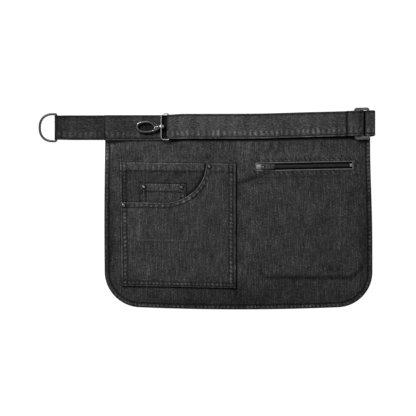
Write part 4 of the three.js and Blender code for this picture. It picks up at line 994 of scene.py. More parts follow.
def makePockets():
    lines, width, length = pocket["edgeLines"], pocket["width"], pocket["length"]
    leftLines = [*lines, *besideRows(*leftSeam["rows"])]
    rightLines = [width - line for line in (*lines, *besideRows(*rightSeam["rows"]))]
    topLines = [*lines, *besideRows(*topSeam["rows"])]
    bottomLines = [length - line for line in (*lines, *besideRows(*bottomSeam["rows"]))]
    columns = linesBetween(0, width, pocket["grid"], [*leftLines, *rightLines], 0.35)
    rows = linesBetween(0, length, pocket["grid"], [*topLines, *bottomLines], 0.35)
    fromLeft, fromTop = np.meshgrid(columns, rows)
    border = lowest(fromLeft, width - fromLeft, fromTop, length - fromTop)
    yoke = pocketLayer("yoke_cloth", "pocket_yoke", fromLeft, fromTop, yokeTop, yokeLow, border)

    sideLines = fromBothEnds(0, coin["width"], [*lines, *besideRows(*coinRows)])
    columns = coinLeft + linesBetween(0, coin["width"], 2.0, sideLines, 0.35)
    rows = coinHigh + linesBetween(0, coin["length"], 2.0, [*lines, *besideRows(coinTopRow)], 0.35)
    fromLeft, fromTop = np.meshgrid(columns, rows)
    border = lowest(fromLeft - columns[0], columns[-1] - fromLeft, fromTop - rows[0], rows[-1] - fromTop)
    coinPiece = pocketLayer("coin_cloth", "coin_pocket", fromLeft, fromTop, coinTop, coinLow, border)

    straight = linesBetween(0, scoop["width"] - scoop["round"], pocket["grid"], leftLines, 0.35)
    turned = scoop["width"] - scoop["round"] * (1 - np.sin(np.radians(np.linspace(0, 90, 46)[1:])))
    last = linesBetween(scoop["width"], width, pocket["grid"], rightLines, 0.35)
    columns = np.concatenate([straight, turned, last[1:]])
    depth = pocket["length"] - scoop["depth"]
    mouthLines = [line / depth for line in (*lines, *besideRows(*scoopSeam["rows"]))]
    footLines = [1 - (length - line) / depth for line in bottomLines]
    rows = linesBetween(0, 1, pocket["grid"] / (depth + 24), [*mouthLines, *footLines], 0.35 / depth)
    fromLeft, share = np.meshgrid(columns, rows)
    start = scoopAt(fromLeft)
    fromTop = start + (pocket["length"] - start) * share
    x, y = onPocket(fromLeft, fromTop)
    scoopAway = nearest(x, y, scoopPath)[0]
    topAway = np.where(fromLeft > scoop["width"], fromTop, 99)
    border = lowest(fromLeft, width - fromLeft, length - fromTop, scoopAway, topAway)
    front = pocketLayer("front_cloth", "pocket_front", fromLeft, fromTop, frontTop, frontBase, border)
    return yoke, coinPiece, front


yokeCloth, coinCloth, frontCloth = makePockets()
print("pockets made")


# Zipped pocket's bag, a flat cloth with two round lower corners

def bagTop(x, y):
    rise = 0.06 * dapple(x / 9, y / 9, 19)
    return np.full(np.shape(x), layers["bag"] - 0.06) + rise


def makeBag():
    columns = linesBetween(bagBox["left"], bagBox["right"], bag["grid"])
    rows = linesBetween(0, 1, bag["grid"] / bag["length"])
    x, share = np.meshgrid(columns, rows)
    inCorner = np.maximum(0, bag["corner"] - np.minimum(x - bagBox["left"], bagBox["right"] - x))
    foot = bagBox["bottom"] + bag["corner"] - np.sqrt(np.maximum(0, bag["corner"] ** 2 - inCorner**2))
    y = bagBox["top"] + (foot - bagBox["top"]) * share
    high = bagTop(x, y)
    low = np.zeros(np.shape(x)) + 0.02
    piece = clothPiece("bag_cloth", toWorld(x, y, high), toWorld(x, y, low), np.stack([x, y], -1), high * 0)
    return finishPiece(piece, lining, "pocketing", "apron", "zip_pocket_bag")


bagCloth = makeBag()
print("bag made")


# Waistband: a strip folded over at the top, with its lower edge and ends sewn down

def bandRelief(dLow, dHigh, along, seed, strength=1.0):
    lower = seamRelief(dLow, along, {
        "rows": (bandRows["low"],), "ropeFrom": 4.0, "ropeTo": 18, "puff": 0.5 * strength, "period": 10.5,
        "seed": seed, "slant": 0.12, "wear": 1.2 * strength, "edge": 2.4, "sink": 0.25, "dark": 1.2,
    })
    upper = seamRelief(dHigh, along, {
        "rows": (bandRows["high"],), "ropeFrom": 3, "ropeTo": 12, "puff": 0.2 * strength, "period": 9,
        "seed": seed + 3, "slant": 0.12, "wear": 0.3 * strength, "edge": 0.1, "sink": 0.22,
    })
    return lower[0] + upper[0], lower[1] + upper[1]


def makeWaistband():
    foldRadius = bandMiddle - layers["bandWall"] / 2
    straight = band["height"] - bandThick / 2
    backLow = linesBetween(0, straight, 2.3, [0.3, 0.9, *besideRows(bandRows["low"])], 0.35)
    turns = np.linspace(-math.pi / 2, math.pi / 2, 12)[1:-1]
    line = [(y, layers["bandWall"] / 2) for y in backLow]
    line += [(straight + foldRadius * math.cos(t), bandMiddle + foldRadius * math.sin(t)) for t in turns]
    line += [(y, bandThick - layers["bandWall"] / 2) for y in backLow[::-1]]
    line = np.array(line)
    ahead = unitRows(np.gradient(line, axis=0))
    off = np.stack([ahead[:, 1], -ahead[:, 0]], 1)
    columns = linesBetween(-bandEnd, bandEnd, 2.2, fromBothEnds(-bandEnd, bandEnd, (0.4, 1.2, 2.0, 3.0)), 0.3)
    run = runAlong(line)
    x, along = np.meshgrid(columns, run)
    lineY, lineZ = np.broadcast_to(line[:, :1], x.shape), np.broadcast_to(line[:, 1:], x.shape)
    offY, offZ = np.broadcast_to(off[:, :1], x.shape), np.broadcast_to(off[:, 1:], x.shape)
    front = (along > run[-1] / 2).astype(float)
    rise, worn = bandRelief(lineY, band["height"] - lineY, x + 300, 71, 0.5)
    worn = worn + 0.8 * (wobble((x + 300) / 13, 73) - 0.5)
    ends = np.minimum(x + bandEnd, bandEnd - x)
    # The band's ends are painted with shade along their edges (the negative edge).
    endRise, endWearShade = seamRelief(ends, lineY, {
        "rows": (3.0,), "ropeFrom": 1, "ropeTo": 7, "puff": 0.15, "period": 9, "seed": 77,
        "wear": 0.3, "edge": -0.8, "dark": 0.2,
    })
    covered = 1 - ease(-150, -130, x)  # the belt strap lies on the band's right stretch
    rise = (rise + endRise) * front * covered
    puff = 0.35 * front * covered * bell(lineY - 24, 16)
    half = layers["bandWall"] / 2
    edge = roundOff(lowest(ends, along, run[-1] - along), half)
    outer, inner = half + rise + puff - edge, half - edge * 0.9
    y = lineY + climb(x)
    high = toWorld(x, y + offY * outer, lineZ + offZ * outer)
    low = toWorld(x, y - offY * inner, lineZ - offZ * inner)
    uv = np.stack([along, x], -1)
    # Painted shade: a dark curved line down the band's left end.
    leftEnd = x + bandEnd
    curve = 1.2 + 1.6 * bell(lineY, 9) + 0.6 * ease(20, 50, lineY)
    worn = worn + endWearShade - 0.8 - 2.2 * bell(leftEnd - curve, 1.2) * (1 - 0.6 * ease(14, 34, lineY))
    # Painted shadow of the snap hook on the band.
    worn = worn - 1.5 * np.exp(-(((x + 181) / 26) ** 2) - ((lineY - 25) / 9) ** 2) * front
    beltShade = ease(-152, -148, x) * front  # painted shade: from the swivel eye on, under the belt strap, the band's front is painted near black
    worn = worn * (1 - beltShade) - 4.6 * beltShade
    piece = clothPiece("waistband_cloth", high, low, uv, worn)
    return finishPiece(piece, bandDenim, "denim_band", "apron", "waistband")


waistbandCloth = makeWaistband()
print("waistband made")


# Straps: each is one strip that follows its line in side view

strap = {
    "width": 49.8, "pinch": 1.4, "pinchRun": 30, "tuck": 13, "tuckNarrow": 6.4, "beltLift": 2.7, "eyeDrop": 1.2,
    "releaseFrom": -7, "releaseTo": 0.8, "releaseLift": 21, "grid": 2.3, "rowInset": 3.5,
}
stack = {"eyeWire": 2.6, "headRadius": 4.2, "headClearance": 0.2, "ringWire": 3.8, "buckle": 2.0}
step = layers["strap"] + layers["gap"]
lowStrap = bandThick + layers["gap"] + layers["strap"] / 2
highStrap = lowStrap + step
endStrap = highStrap + step
buckleLevel = highStrap + layers["strap"] / 2 + layers["gap"] + stack["buckle"] / 2
overBuckle = buckleLevel + stack["buckle"] / 2 + layers["gap"] + layers["strap"] / 2
eyeFold = stack["eyeWire"] / 2 + layers["gap"] + layers["strap"] / 2
eyeLevel = bandThick + layers["gap"] + stack["headRadius"] + stack["headClearance"]
ringFold = stack["ringWire"] / 2 + layers["gap"] + layers["strap"] / 2
ringLevel = layers["strap"] / 2 + ringFold
ringSpot = {"leftReach": 99, "foldBack": 17, "ease": 12, "dropFrom": 4, "dropTo": 26}
buckleSpot = {"inset": 15.4, "length": 31.2, "bar": 3.6, "middleBar": 4, "endRun": 30.8, "fall": 10, "stagger": 0.9}
eyeSpot = {"fromEnd": 129.1, "under": 26, "over": 24}
leftFoldX = -bandEnd - ringSpot["leftReach"] + ringFold + layers["strap"] / 2
buckleX = bandEnd - buckleSpot["inset"]
hookX = eyeSpot["fromEnd"] - bandEnd


def bend(start, end, count=10):
    share = np.linspace(0, 1, count + 1)
    eased = (1 - np.cos(math.pi * share)) / 2
    return np.stack([start[0] + (end[0] - start[0]) * share, start[1] + (end[1] - start[1]) * eased], 1)


def fold(middle, radius, start, end, count=16):
    angles = np.radians(np.linspace(start, end, count + 1))
    return np.stack([middle[0] + radius * np.cos(angles), middle[1] + radius * np.sin(angles)], 1)


def straightRun(start, end):
    return np.array([start, end], float)


def leftStrapLine():
    foldEnd = leftFoldX + ringSpot["foldBack"]
    front, flat = layers["strap"] * 1.5 + layers["gap"], layers["strap"] / 2 + layers["gap"]
    out, down = -bandEnd - ringSpot["dropFrom"], -bandEnd - ringSpot["dropTo"]
    near = foldEnd + ringSpot["ease"]
    return np.concatenate([
        straightRun((-bandEnd + strap["tuck"], bandMiddle), (out, bandMiddle)),
        bend((out, bandMiddle), (down, flat)),
        straightRun((down, flat), (near, flat)),
        bend((near, flat), (foldEnd, front)),
        bend((foldEnd, front), (leftFoldX, ringLevel + ringFold)),
        fold((leftFoldX, ringLevel), ringFold, 90, 270),
        straightRun((leftFoldX, layers["strap"] / 2), (foldEnd, layers["strap"] / 2)),
    ])


def beltStrapLine():
    turnRadius = (overBuckle - bandMiddle) / 2
    turnX = bandEnd + band["foldReach"] - turnRadius - layers["strap"] / 2
    barIn = buckleSpot["length"] / 2 - buckleSpot["bar"]
    rightBar, pastMiddle = buckleX + barIn - 0.6, buckleX + buckleSpot["middleBar"] / 2 + 2.2
    dip, rise = buckleX - buckleSpot["middleBar"] / 2 - 1.2, buckleX - barIn + 0.9
    leftBar = buckleX - buckleSpot["length"] / 2 - 0.7
    down = leftBar - buckleSpot["fall"]
    under, over = hookX + eyeSpot["under"], hookX + eyeSpot["over"]
    second, third = overBuckle + step, overBuckle + 2 * step
    later, last = buckleSpot["stagger"], 2 * buckleSpot["stagger"]
    loopX = buckleX + buckleSpot["middleBar"] / 2
    return np.concatenate([
        straightRun((bandEnd - strap["tuck"], bandMiddle), (turnX, bandMiddle)),
        fold((turnX, bandMiddle + turnRadius), turnRadius, -90, 90),
        straightRun((turnX, overBuckle), (rightBar, overBuckle)),
        bend((rightBar, overBuckle), (pastMiddle, lowStrap)),
        straightRun((pastMiddle, lowStrap), (dip, lowStrap)),
        bend((dip, lowStrap), (rise, overBuckle)),
        straightRun((rise, overBuckle), (leftBar, overBuckle)),
        bend((leftBar, overBuckle), (down, lowStrap)),
        straightRun((down, lowStrap), (under, lowStrap)),
        bend((under, lowStrap), (hookX, eyeLevel - eyeFold)),
        fold((hookX, eyeLevel), eyeFold, 270, 90),
        bend((hookX, eyeLevel + eyeFold), (over, highStrap)),
        straightRun((over, highStrap), (down - later, highStrap)),
        bend((down - later, highStrap), (leftBar - later, second)),
        straightRun((leftBar - later, second), (rise + later, second)),
        bend((rise + later, second), (dip + later, highStrap)),
        straightRun((dip + later, highStrap), (loopX, highStrap)),
        fold((loopX, buckleLevel), buckleLevel - highStrap, -90, 90),
        bend((loopX, overBuckle), (rise + last, third)),
        straightRun((rise + last, third), (leftBar - last, third)),
        bend((leftBar - last, third), (down - last, endStrap)),
        straightRun((down - last, endStrap), (buckleX - buckleSpot["endRun"], endStrap)),
    ])


def makeStrap(node, line, ringX, lift, drop, seed, shown, toneAndShadeOf, strength):
    apart = np.linalg.norm(np.diff(line, axis=0), axis=1) > 0.05
    line = line[np.concatenate([[True], apart])]
    run = runAlong(line)
    endLines = fromBothEnds(0, run[-1], (0.3, 0.8, 1.6))
    marks = linesBetween(0, run[-1], strap["grid"], [*run[1:-1], *endLines])
    marks = marks[np.concatenate([[True], np.diff(marks) > 0.12])]
    line = np.stack([np.interp(marks, run, line[:, 0]), np.interp(marks, run, line[:, 1])], 1)
    ahead = unitRows(np.gradient(line, marks, axis=0))
    off = np.stack([-ahead[:, 1], ahead[:, 0]], 1)
    out = marks - strap["tuck"] - 1
    tucked = 1 - ease(strap["releaseFrom"], strap["releaseTo"], out)
    near = 1 - ease(0, strap["pinchRun"], np.abs(line[:, 0] - ringX))
    half = (strap["width"] - strap["pinch"] * near - strap["tuckNarrow"] * tucked) / 2
    middle = band["height"] / 2 + lift * ease(0, strap["releaseLift"], out) - drop * near
    middle = middle + 0.35 * (wobble(marks / 60, seed + 9) - 0.5) * (1 - near) * (1 - tucked)
    insets = (0.25, 0.9, *besideRows(bandRows["low"]))
    sideLines = [side * (1 - inset / 25) for side in (-1, 1) for inset in insets]
    across = linesBetween(-1, 1, strap["grid"] / 25, sideLines, 0.4 / 25)
    v, along = np.meshgrid(across, marks)
    y = middle[:, None] + half[:, None] * v
    dLow, dHigh = half[:, None] * (1 + v), half[:, None] * (1 - v)
    rise, worn = bandRelief(dLow, dHigh, along, seed, strength)
    worn = worn + 0.8 * (wobble(along / 13, seed + 12) - 0.5)
    ends = np.minimum(along, run[-1] - along)
    # The strap's end is painted with shade along its edge (the negative edge).
    endRise, endWearShade = seamRelief(run[-1] - along, y, {
        "rows": (3.2,), "ropeFrom": 1, "ropeTo": 9, "puff": 0.2, "period": 8, "seed": seed + 5,
        "wear": 0.5, "edge": -1.2,
    })
    x, z = np.broadcast_to(line[:, :1], v.shape), np.broadcast_to(line[:, 1:], v.shape)
    offX, offZ = np.broadcast_to(off[:, :1], v.shape), np.broadcast_to(off[:, 1:], v.shape)
    thick = layers["strap"] / 2 - roundOff(lowest(dLow, dHigh, ends), layers["strap"] / 2)
    topShare, lowShare = shown(along)
    top, low = thick + (rise + endRise) * topShare, thick + rise * lowShare
    y = y + climb(x)
    high = toWorld(x + offX * top, y, z + offZ * top)
    under = toWorld(x - offX * low, y, z - offZ * low)
    uv = np.stack([v * strap["width"] / 2, along + seed * 37], -1)
    more = toneAndShadeOf(along, x, z, run[-1])
    piece = clothPiece(node + "_cloth", high, under, uv, worn + endWearShade + more, worn + more)
    finishPiece(piece, bandDenim, "denim_band", "apron", node)
    rows = []
    keep = (marks > strap["tuck"] + 3) & (marks < run[-1] - 1)
    for sign, inset in ((1, bandRows["low"]), (-1, bandRows["high"])):
        rowY = middle - sign * (half - inset) + climb(line[:, 0])
        for side in (1, -1):
            level = layers["strap"] / 2 * side
            points = toWorld(line[:, 0] + off[:, 0] * level, rowY, line[:, 1] + off[:, 1] * level)
            normals = np.stack([off[:, 0] * side, np.zeros(len(off)), off[:, 1] * side], 1)
            rows.append((points[keep], normals[keep]))
    shape = {"marks": marks, "line": line, "off": off, "half": half, "middle": middle, "length": run[-1]}
    return piece, rows, shape


def acrossRow(shape, mark, side):  # a row of stitches across a strap
    at = int(np.argmin(np.abs(shape["marks"] - mark)))
    point, off = shape["line"][at], shape["off"][at] * side
    reach = shape["half"][at] - strap["rowInset"]
    y = shape["middle"][at] + np.linspace(-reach, reach, 40) + climb(point[0])
    level = layers["strap"] / 2
    line = toWorld(point[0] + off[0] * level, y, point[1] + off[1] * level)
    return line, np.tile([off[0], 0, off[1]], (len(y), 1))


def leftShown(along):
    return np.ones(np.shape(along)), np.zeros(np.shape(along))


beltLine = beltStrapLine()
foldMark = runAlong(beltLine)[np.argmin(np.hypot(beltLine[:, 0] - hookX + eyeFold, beltLine[:, 1] - eyeLevel))]


def beltShown(along):  # relief goes only on the faces that lie free
    onTop = ease(foldMark + 2, foldMark + 14, along)
    running = ease(38, 44, along) * (1 - ease(58, 64, along))
    return onTop, running


def leftToneAndShade(along, x, z, length):
    # Darker overall, with painted shade at the fold round the D-ring and along the folded end's edge.
    foldEdge = bell(x - leftFoldX - 1, 2.5)
    return -1.3 - 0.9 * foldEdge - 0.8 * bell(x - leftFoldX - ringSpot["foldBack"], 1.2)


def beltToneAndShade(along, x, z, length):
    # Painted shade at the sewn end and its edge, at the fold round the swivel eye and at the fold by the buckle;
    # the strap's first stretch is darker.
    sewnEnd = buckleX - buckleSpot["endRun"]
    running = 1 - ease(70, 80, along)
    nearEnd = bell(x - sewnEnd + 0.6, 1.3) * (z > lowStrap + 1)
    lastRun = bell(length - along - 0.5, 1.4)
    eyeEdge = bell(x - hookX + eyeFold, 2.6) * (z > 3)
    loop = bell(x - buckleX - 4.2, 2.2)
    runEnd = bell(x - 273.5, 2.8)
    return 0.2 - 0.6 * running - 2 * nearEnd - 2.6 * lastRun - 1.6 * eyeEdge - 3.4 * loop + 0.7 * runEnd


leftCloth, leftRows, leftShape = makeStrap(
    "left_strap", leftStrapLine(), leftFoldX, 0, 0, 81, leftShown, leftToneAndShade, 0.45
)
beltCloth, beltRows, beltShape = makeStrap(
    "belt_strap", beltLine, hookX, strap["beltLift"], strap["eyeDrop"], 91, beltShown, beltToneAndShade, 0.75
)
print("straps made, belt strap is", round(float(beltShape["length"])), "mm long")


# Stitching

def heightOf(face):  # a face's height, without its wear and painted shade
    return lambda x, y: face(x, y)[0]


def panelUnder(x, y):
    return panelLow(x, y) - layers["hem"]


def rowsOf(thread, seam, face, side, keep, pitch=None):
    for row in seam["rows"]:
        path = offsetPath(resample(seam["path"], 2.0), row, side)
        path = path[keep(path[:, 0], path[:, 1])]
        if len(path) > 2:
            sewPlan(thread, path, heightOf(face), pitch=pitch)


def sewPanel():
    thread = Thread("panel_stitches")
    below = panelOutline[panelOutline[:, 1] < -0.5]
    hemRow = offsetPath(resample(below, 2.0), hemSeam["rows"][0], 1)
    sewPlan(thread, hemRow, heightOf(panelTop))
    sewPlan(thread, hemRow, panelUnder, -1)
    for row, corner in ((1.9, 1.0), (6.6, 4.5)):
        reachX, reachY = zipHalf[0] + row, zipHalf[1] + row
        loop = []
        for cornerIndex, (signX, signY) in enumerate([(1, 1), (-1, 1), (-1, -1), (1, -1)]):
            for share in np.linspace(0, 1, 8):
                angle = math.pi / 2 * (cornerIndex + share)
                loop.append((
                    signX * (reachX - corner) + corner * math.cos(angle),
                    signY * (reachY - corner) + corner * math.sin(angle),
                ))
        loop = np.array([*loop, loop[0]])
        sewPlan(thread, np.stack(fromZip(*loop.T), 1), heightOf(panelTop))
    return thread.finish("denim")


def sewPockets():
    thread = Thread("pocket_stitches")

    def aboveScoop(x, y):
        fromLeft, fromTop = offPocket(x, y)
        return fromTop < scoopAt(fromLeft) - 1

    def belowScoop(x, y):
        fromLeft, fromTop = offPocket(x, y)
        return (fromTop > scoopAt(fromLeft) + 2) & (fromTop > 2) & (fromTop < pocket["length"] - 2)

    def inPocket(x, y):
        fromLeft, fromTop = offPocket(x, y)
        return (fromLeft > 4) & (fromTop > 3) & (fromLeft < pocket["width"] - 14)

    rowsOf(thread, leftSeam, yokeTop, 1, aboveScoop)
    rowsOf(thread, topSeam, yokeTop, -1, aboveScoop)
    for seam, side in ((leftSeam, 1), (rightSeam, -1), (bottomSeam, 1), (topSeam, -1)):
        rowsOf(thread, seam, frontTop, side, belowScoop)
    rowsOf(thread, scoopSeam, frontTop, -1, inPocket, 3.1)
    for seam, side in zip(coinSeams, (1, -1, -1)):
        rowsOf(thread, seam, coinTop, side, aboveScoop, 3.1)
    return thread.finish("denim")


def sewBands():
    thread = Thread("band_stitches")
    columns = np.linspace(-bandEnd + 4, bandEnd - 1, 400)
    for inset in (bandRows["low"], band["height"] - bandRows["low"]):
        y = inset + climb(columns)
        for level, up in ((bandThick, 1.0), (0.0, -1.0)):
            line = toWorld(columns, y, level)
            thread.sew(line, np.tile([0, 0, up], (len(columns), 1)))
    endY = np.linspace(5, band["height"] - 5, 30)
    line = toWorld(-bandEnd + 3.2, endY, bandThick)
    thread.sew(line, np.tile([0.0, 0, 1], (len(endY), 1)))
    for points, normals in [*leftRows, *beltRows]:
        thread.sew(points, normals)
    leftEnd = leftShape["length"]
    for mark in (leftEnd - 4, leftEnd - 12):
        thread.sew(*acrossRow(leftShape, mark, -1))
    ringMark = float(leftShape["marks"][np.argmin(leftShape["line"][:, 0])])
    thread.sew(*acrossRow(leftShape, ringMark - 17, 1))
    for inset in (3.2, 10.5):
        thread.sew(*acrossRow(beltShape, beltShape["length"] - inset, 1))
    return thread.finish("denim_band")


panelStitches, pocketStitches, bandStitches = sewPanel(), sewPockets(), sewBands()
print("stitches sewn:", sum(len(o.data.polygons) for o in (panelStitches, pocketStitches, bandStitches)), "faces")


# Hard pieces

def activate(piece):
    bpy.ops.object.select_all(action="DESELECT")
    piece.select_set(True)
    bpy.context.view_layer.objects.active = piece


def copyOfNode(name, node):
    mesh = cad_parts[node].data.copy()
    mesh.name = name
    piece = bpy.data.objects.new(name, mesh)
    bpy.context.scene.collection.objects.link(piece)
    activate(piece)
    bpy.ops.object.mode_set(mode="EDIT")
    bpy.ops.mesh.select_all(action="SELECT")
    bpy.ops.mesh.remove_doubles(threshold=2e-6)
    bpy.ops.object.mode_set(mode="OBJECT")
    return piece


def applyAll(piece):
    activate(piece)
    for modifier in list(piece.modifiers):
        bpy.ops.object.modifier_apply(modifier=modifier.name)


def bevelled(name, node, material, slotName, body, width, segments=3):
    piece = copyOfNode(name, node)
    bpy.ops.object.mode_set(mode="EDIT")
    bpy.ops.mesh.select_all(action="SELECT")
    bpy.ops.mesh.dissolve_limited(angle_limit=math.radians(2))
    bpy.ops.object.mode_set(mode="OBJECT")
    bevel = piece.modifiers.new("edges", "BEVEL")
    bevel.width, bevel.segments, bevel.limit_method = width, segments, "ANGLE"
    bevel.angle_limit = math.radians(32)
    applyAll(piece)
    bpy.ops.object.shade_smooth_by_angle(angle=math.radians(50))
    return finishPiece(piece, material, slotName, body, node)


def castPiece(name, node, material, slotName, body, voxel, smoothing, swell=0):
    piece = copyOfNode(name, node)
    remesh = piece.modifiers.new("cast", "REMESH")
    remesh.mode, remesh.voxel_size = "VOXEL", voxel
    smooth = piece.modifiers.new("soften", "SMOOTH")
    smooth.factor, smooth.iterations = 0.5, smoothing
    if swell:
        swollen = piece.modifiers.new("swell", "DISPLACE")
        swollen.strength, swollen.mid_level = swell, 0
    applyAll(piece)
    for vertex in piece.data.vertices:
        vertex.co.z = max(vertex.co.z, 0)
    piece.data.polygons.foreach_set("use_smooth", [True] * len(piece.data.polygons))
    return finishPiece(piece, material, slotName, body, node)


castPiece("ring_wire", "d_ring", gunmetal, "gunmetal", "d_ring", 0.0003, 2, 0.00065)
bevelled("buckle_plate", "belt_buckle", nickel, "buckle_steel", "apron", 0.0006)
castPiece("eye_cast", "swivel_eye", litGunmetal, "gunmetal", "swivel_eye", 0.00032, 5)
castPiece("hook_cast", "snap_hook", rubbedMetal, "gunmetal", "snap_hook", 0.00032, 5)
castPiece("gate_cast", "hook_gate", rubbedMetal, "gunmetal", "hook_gate", 0.0003, 4)
bevelled("slider_body", "zip_slider", litGunmetal, "gunmetal", "zip_slider", 0.00028, 2)
bevelled("pull_tab", "zip_pull", pullMetal, "gunmetal", "zip_pull", 0.00022, 2)


pullBar = {
    "at": (0.42, 0.6, 0.8), "length": 0.0011, "share": 0.62, "height": 0.0004, "proud": 0.00012, "edge": 0.00012,
}


def makePullBars():  # raised bars across the pull's tab
    low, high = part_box("zip_pull")
    middle = (low + high) / 2
    bars = []
    for share in pullBar["at"]:
        along = (share - 0.5) * (high.x - low.x)
        bpy.ops.mesh.primitive_cube_add(size=1, location=(0, 0, 0))
        bar = bpy.context.object
        bar.scale = (pullBar["length"], pullBar["share"] * (high.y - low.y), pullBar["height"])
        bar.rotation_euler = (0, 0, zipOpening["turn"])
        bar.location = (
            middle.x + along,
            middle.y + along * math.tan(zipOpening["turn"]),
            high.z + pullBar["proud"] - pullBar["height"] / 2,
        )
        bars.append(bar)
    bpy.ops.object.select_all(action="DESELECT")
    for bar in bars:
        bar.select_set(True)
    bpy.context.view_layer.objects.active = bars[0]
    bpy.ops.object.transform_apply(location=True, rotation=True, scale=True)
    bpy.ops.object.join()
    piece = bpy.context.object
    piece.name = piece.data.name = "pull_bars"
    bevel = piece.modifiers.new("edges", "BEVEL")
    bevel.width, bevel.segments = pullBar["edge"], 2
    applyAll(piece)
    return finishPiece(piece, rivetMetal, "gunmetal", "zip_pull")


makePullBars()
print("castings made")


rivetSize = {"radius": 0.0027, "height": 0.0013, "rim": 0.0007, "dish": 0.00035, "edge": 0.0002, "sunk": 0.0001}


def makeRivet(node):
    low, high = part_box(node)
    centre = (low + high) / 2
    bpy.ops.object.select_all(action="DESELECT")
    bpy.ops.mesh.primitive_cylinder_add(
        vertices=32, radius=rivetSize["radius"], depth=rivetSize["height"], location=(0, 0, 0)
    )
    piece = bpy.context.object
    piece.name = piece.data.name = node + "_cap"
    mesh = piece.data
    bpy.ops.object.mode_set(mode="EDIT")
    bpy.ops.mesh.select_all(action="DESELECT")
    bpy.ops.object.mode_set(mode="OBJECT")
    for face in mesh.polygons:
        face.select = face.normal.z > 0.9
    bpy.ops.object.mode_set(mode="EDIT")
    bpy.ops.mesh.inset(thickness=rivetSize["rim"], depth=0.0)
    bpy.ops.mesh.inset(thickness=rivetSize["rim"] * 0.5, depth=-rivetSize["dish"])
    bpy.ops.mesh.inset(thickness=rivetSize["rim"] * 0.9, depth=rivetSize["dish"] * 1.2)
    bpy.ops.object.mode_set(mode="OBJECT")
    bevel = piece.modifiers.new("edges", "BEVEL")
    bevel.width, bevel.segments, bevel.limit_method = rivetSize["edge"], 3, "ANGLE"
    applyAll(piece)
    mesh.transform(Matrix.Translation(centre - Vector((0, 0, rivetSize["sunk"]))))
    bpy.ops.object.shade_smooth_by_angle(angle=math.radians(60))
    return finishPiece(piece, rivetMetal, "gunmetal", "apron", node)


for node in rivetNodes:
    makeRivet(node)
print("rivets made")


# Zip: two woven tapes, two rows of locked teeth and the end stop

zipTeeth = {"pitch": 2.1, "reach": 3.1, "width": 1.35, "height": 1.35, "round": 0.22, "past": 1.25, "short": 4}
tapeWeave = {"inner": 0.3, "outer": 13.9, "ribPitch": 2.4, "rib": 0.05, "cordAt": 1.4, "cord": 0.075}


def zipWorld(along, across, z):
    return toWorld(*fromZip(along, across), z)


def makeTape(node, side):
    half = zipHalf[0] + tapeReach["past"]
    inner, outer = tapeWeave["inner"], tapeWeave["outer"]
    along, across = np.meshgrid(linesBetween(-half, half, 1.2), linesBetween(inner, outer, 0.8))
    across = side * across[::side]
    out = np.abs(across)
    ribs = tapeWeave["rib"] * np.sin(2 * math.pi * along / tapeWeave["ribPitch"])
    cord = tapeWeave["cord"] * bell(out - tapeWeave["cordAt"], 0.9)
    edge = roundOff(lowest(half - np.abs(along), out - inner, outer - out), 0.3)
    high, low = tapeTop - 0.1 + ribs + cord - edge, tapeLow + 0.1 + edge * 0.5
    order = slice(None, None, -1)
    places = [zipWorld(along, across, level)[order] for level in (high, low)]
    uv = np.stack([along, across], -1)[order]
    piece = clothPiece(node.replace("zip_tape", "tape_cloth"), *places, uv, high[order] * 0)
    return finishPiece(piece, tapeLook, "zip_black", "apron", node)


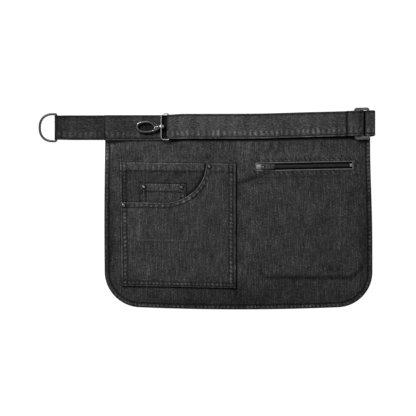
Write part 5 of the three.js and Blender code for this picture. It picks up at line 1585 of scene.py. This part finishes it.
def makeTeeth():
    low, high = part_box("zip_chain")
    bpy.ops.object.select_all(action="DESELECT")
    bpy.ops.mesh.primitive_cube_add(size=1, location=(0, 0, 0))
    unit = bpy.context.object
    bpy.ops.object.mode_set(mode="EDIT")
    bpy.ops.mesh.select_all(action="SELECT")
    bpy.ops.transform.resize(value=(zipTeeth["width"], zipTeeth["reach"], zipTeeth["height"]))
    bpy.ops.mesh.bevel(offset=zipTeeth["round"], segments=2, affect="EDGES")
    bpy.ops.object.mode_set(mode="OBJECT")
    places = np.array([vertex.co for vertex in unit.data.vertices])
    faces = [list(face.vertices) for face in unit.data.polygons]
    bpy.data.objects.remove(unit)
    narrow = np.clip(places[:, 1] / zipTeeth["reach"] + 0.5, 0, 1)  # the head is narrower than the foot
    places[:, 0] *= 1.12 - 0.35 * narrow
    length = zipOpening["length"] - zipTeeth["short"]
    count = int(length / zipTeeth["pitch"])
    level = (low.z + high.z) / 2 / mm
    allPlaces, allFaces, total = [], [], 0
    for index in range(count):
        for side in (1, -1):
            shift = zipTeeth["pitch"] * (index + (0.25 if side > 0 else 0.75)) - length / 2
            along = shift + places[:, 0] * side
            across = -side * (places[:, 1] - zipTeeth["past"])
            allPlaces.append(zipWorld(along, across, level + places[:, 2]))
            allFaces += [[corner + total for corner in face] for face in faces]
            total += len(places)
    piece = meshPiece("zip_teeth", np.concatenate(allPlaces) * mm, allFaces)
    activate(piece)
    bpy.ops.object.mode_set(mode="EDIT")
    bpy.ops.mesh.select_all(action="SELECT")
    bpy.ops.mesh.normals_make_consistent(inside=False)
    bpy.ops.object.mode_set(mode="OBJECT")
    return finishPiece(piece, zipMetal, "zip_black", "apron", "zip_chain")


upperTape, lowerTape = makeTape("zip_tape_upper", 1), makeTape("zip_tape_lower", -1)
teeth = makeTeeth()
bevelled("stop_clamp", "zip_end_stop", litGunmetal, "gunmetal", "apron", 0.0002, 2)
print("zip made with", len(teeth.data.polygons), "tooth faces")


print("cloth pieces made")


# Camera, floor and light

shot = {"centre": (0.00227, 0.00117), "width": 0.832, "lens": 130, "height": 0.004}


def makeCamera():
    bpy.ops.object.camera_add()
    camera = bpy.context.object
    camera.data.lens = shot["lens"]
    away = shot["width"] * shot["lens"] / camera.data.sensor_width
    camera.location = (*shot["centre"], shot["height"] + away)
    camera.rotation_euler = (0, 0, 0)
    bpy.context.scene.camera = camera


def makeFloor():
    bpy.ops.object.select_all(action="DESELECT")
    bpy.ops.mesh.primitive_plane_add(size=8, location=(0, 0, -0.0002))
    floor = bpy.context.object
    floor.name = floor.data.name = "floor_board"
    pale = Finish("pale_floor", {
        "Roughness": 0.9,
        "Base Color": (0.06, 0.06, 0.06, 1),
        "Emission Color": (1, 1, 1, 1),
        "Emission Strength": 1.0,
    })
    floor.data.materials.append(pale.material)


lamps = [  # place, size, power
    ((-0.68, 0.9, 0.8), 0.36, 32),
    ((1.4, 0.6, 1.6), 0.9, 4),
    ((-0.4, -1.8, 1.6), 1.2, 5),
]


def makeLights():
    for place, size, power in lamps:
        bpy.ops.object.light_add(type="AREA", location=place)
        lamp = bpy.context.object
        lamp.data.shape, lamp.data.size, lamp.data.energy = "SQUARE", size, power
        lamp.rotation_euler = (-lamp.location).to_track_quat("-Z", "Y").to_euler()
    world = bpy.data.worlds.new("studio") if bpy.context.scene.world is None else bpy.context.scene.world
    bpy.context.scene.world = world
    world.use_nodes = True
    backdrop = world.node_tree.nodes["Background"]
    backdrop.inputs["Color"].default_value = (1, 1, 1, 1)
    backdrop.inputs["Strength"].default_value = 0.2


makeCamera()
makeFloor()
makeLights()
bpy.context.scene.view_settings.view_transform = "Standard"
print("stage set")
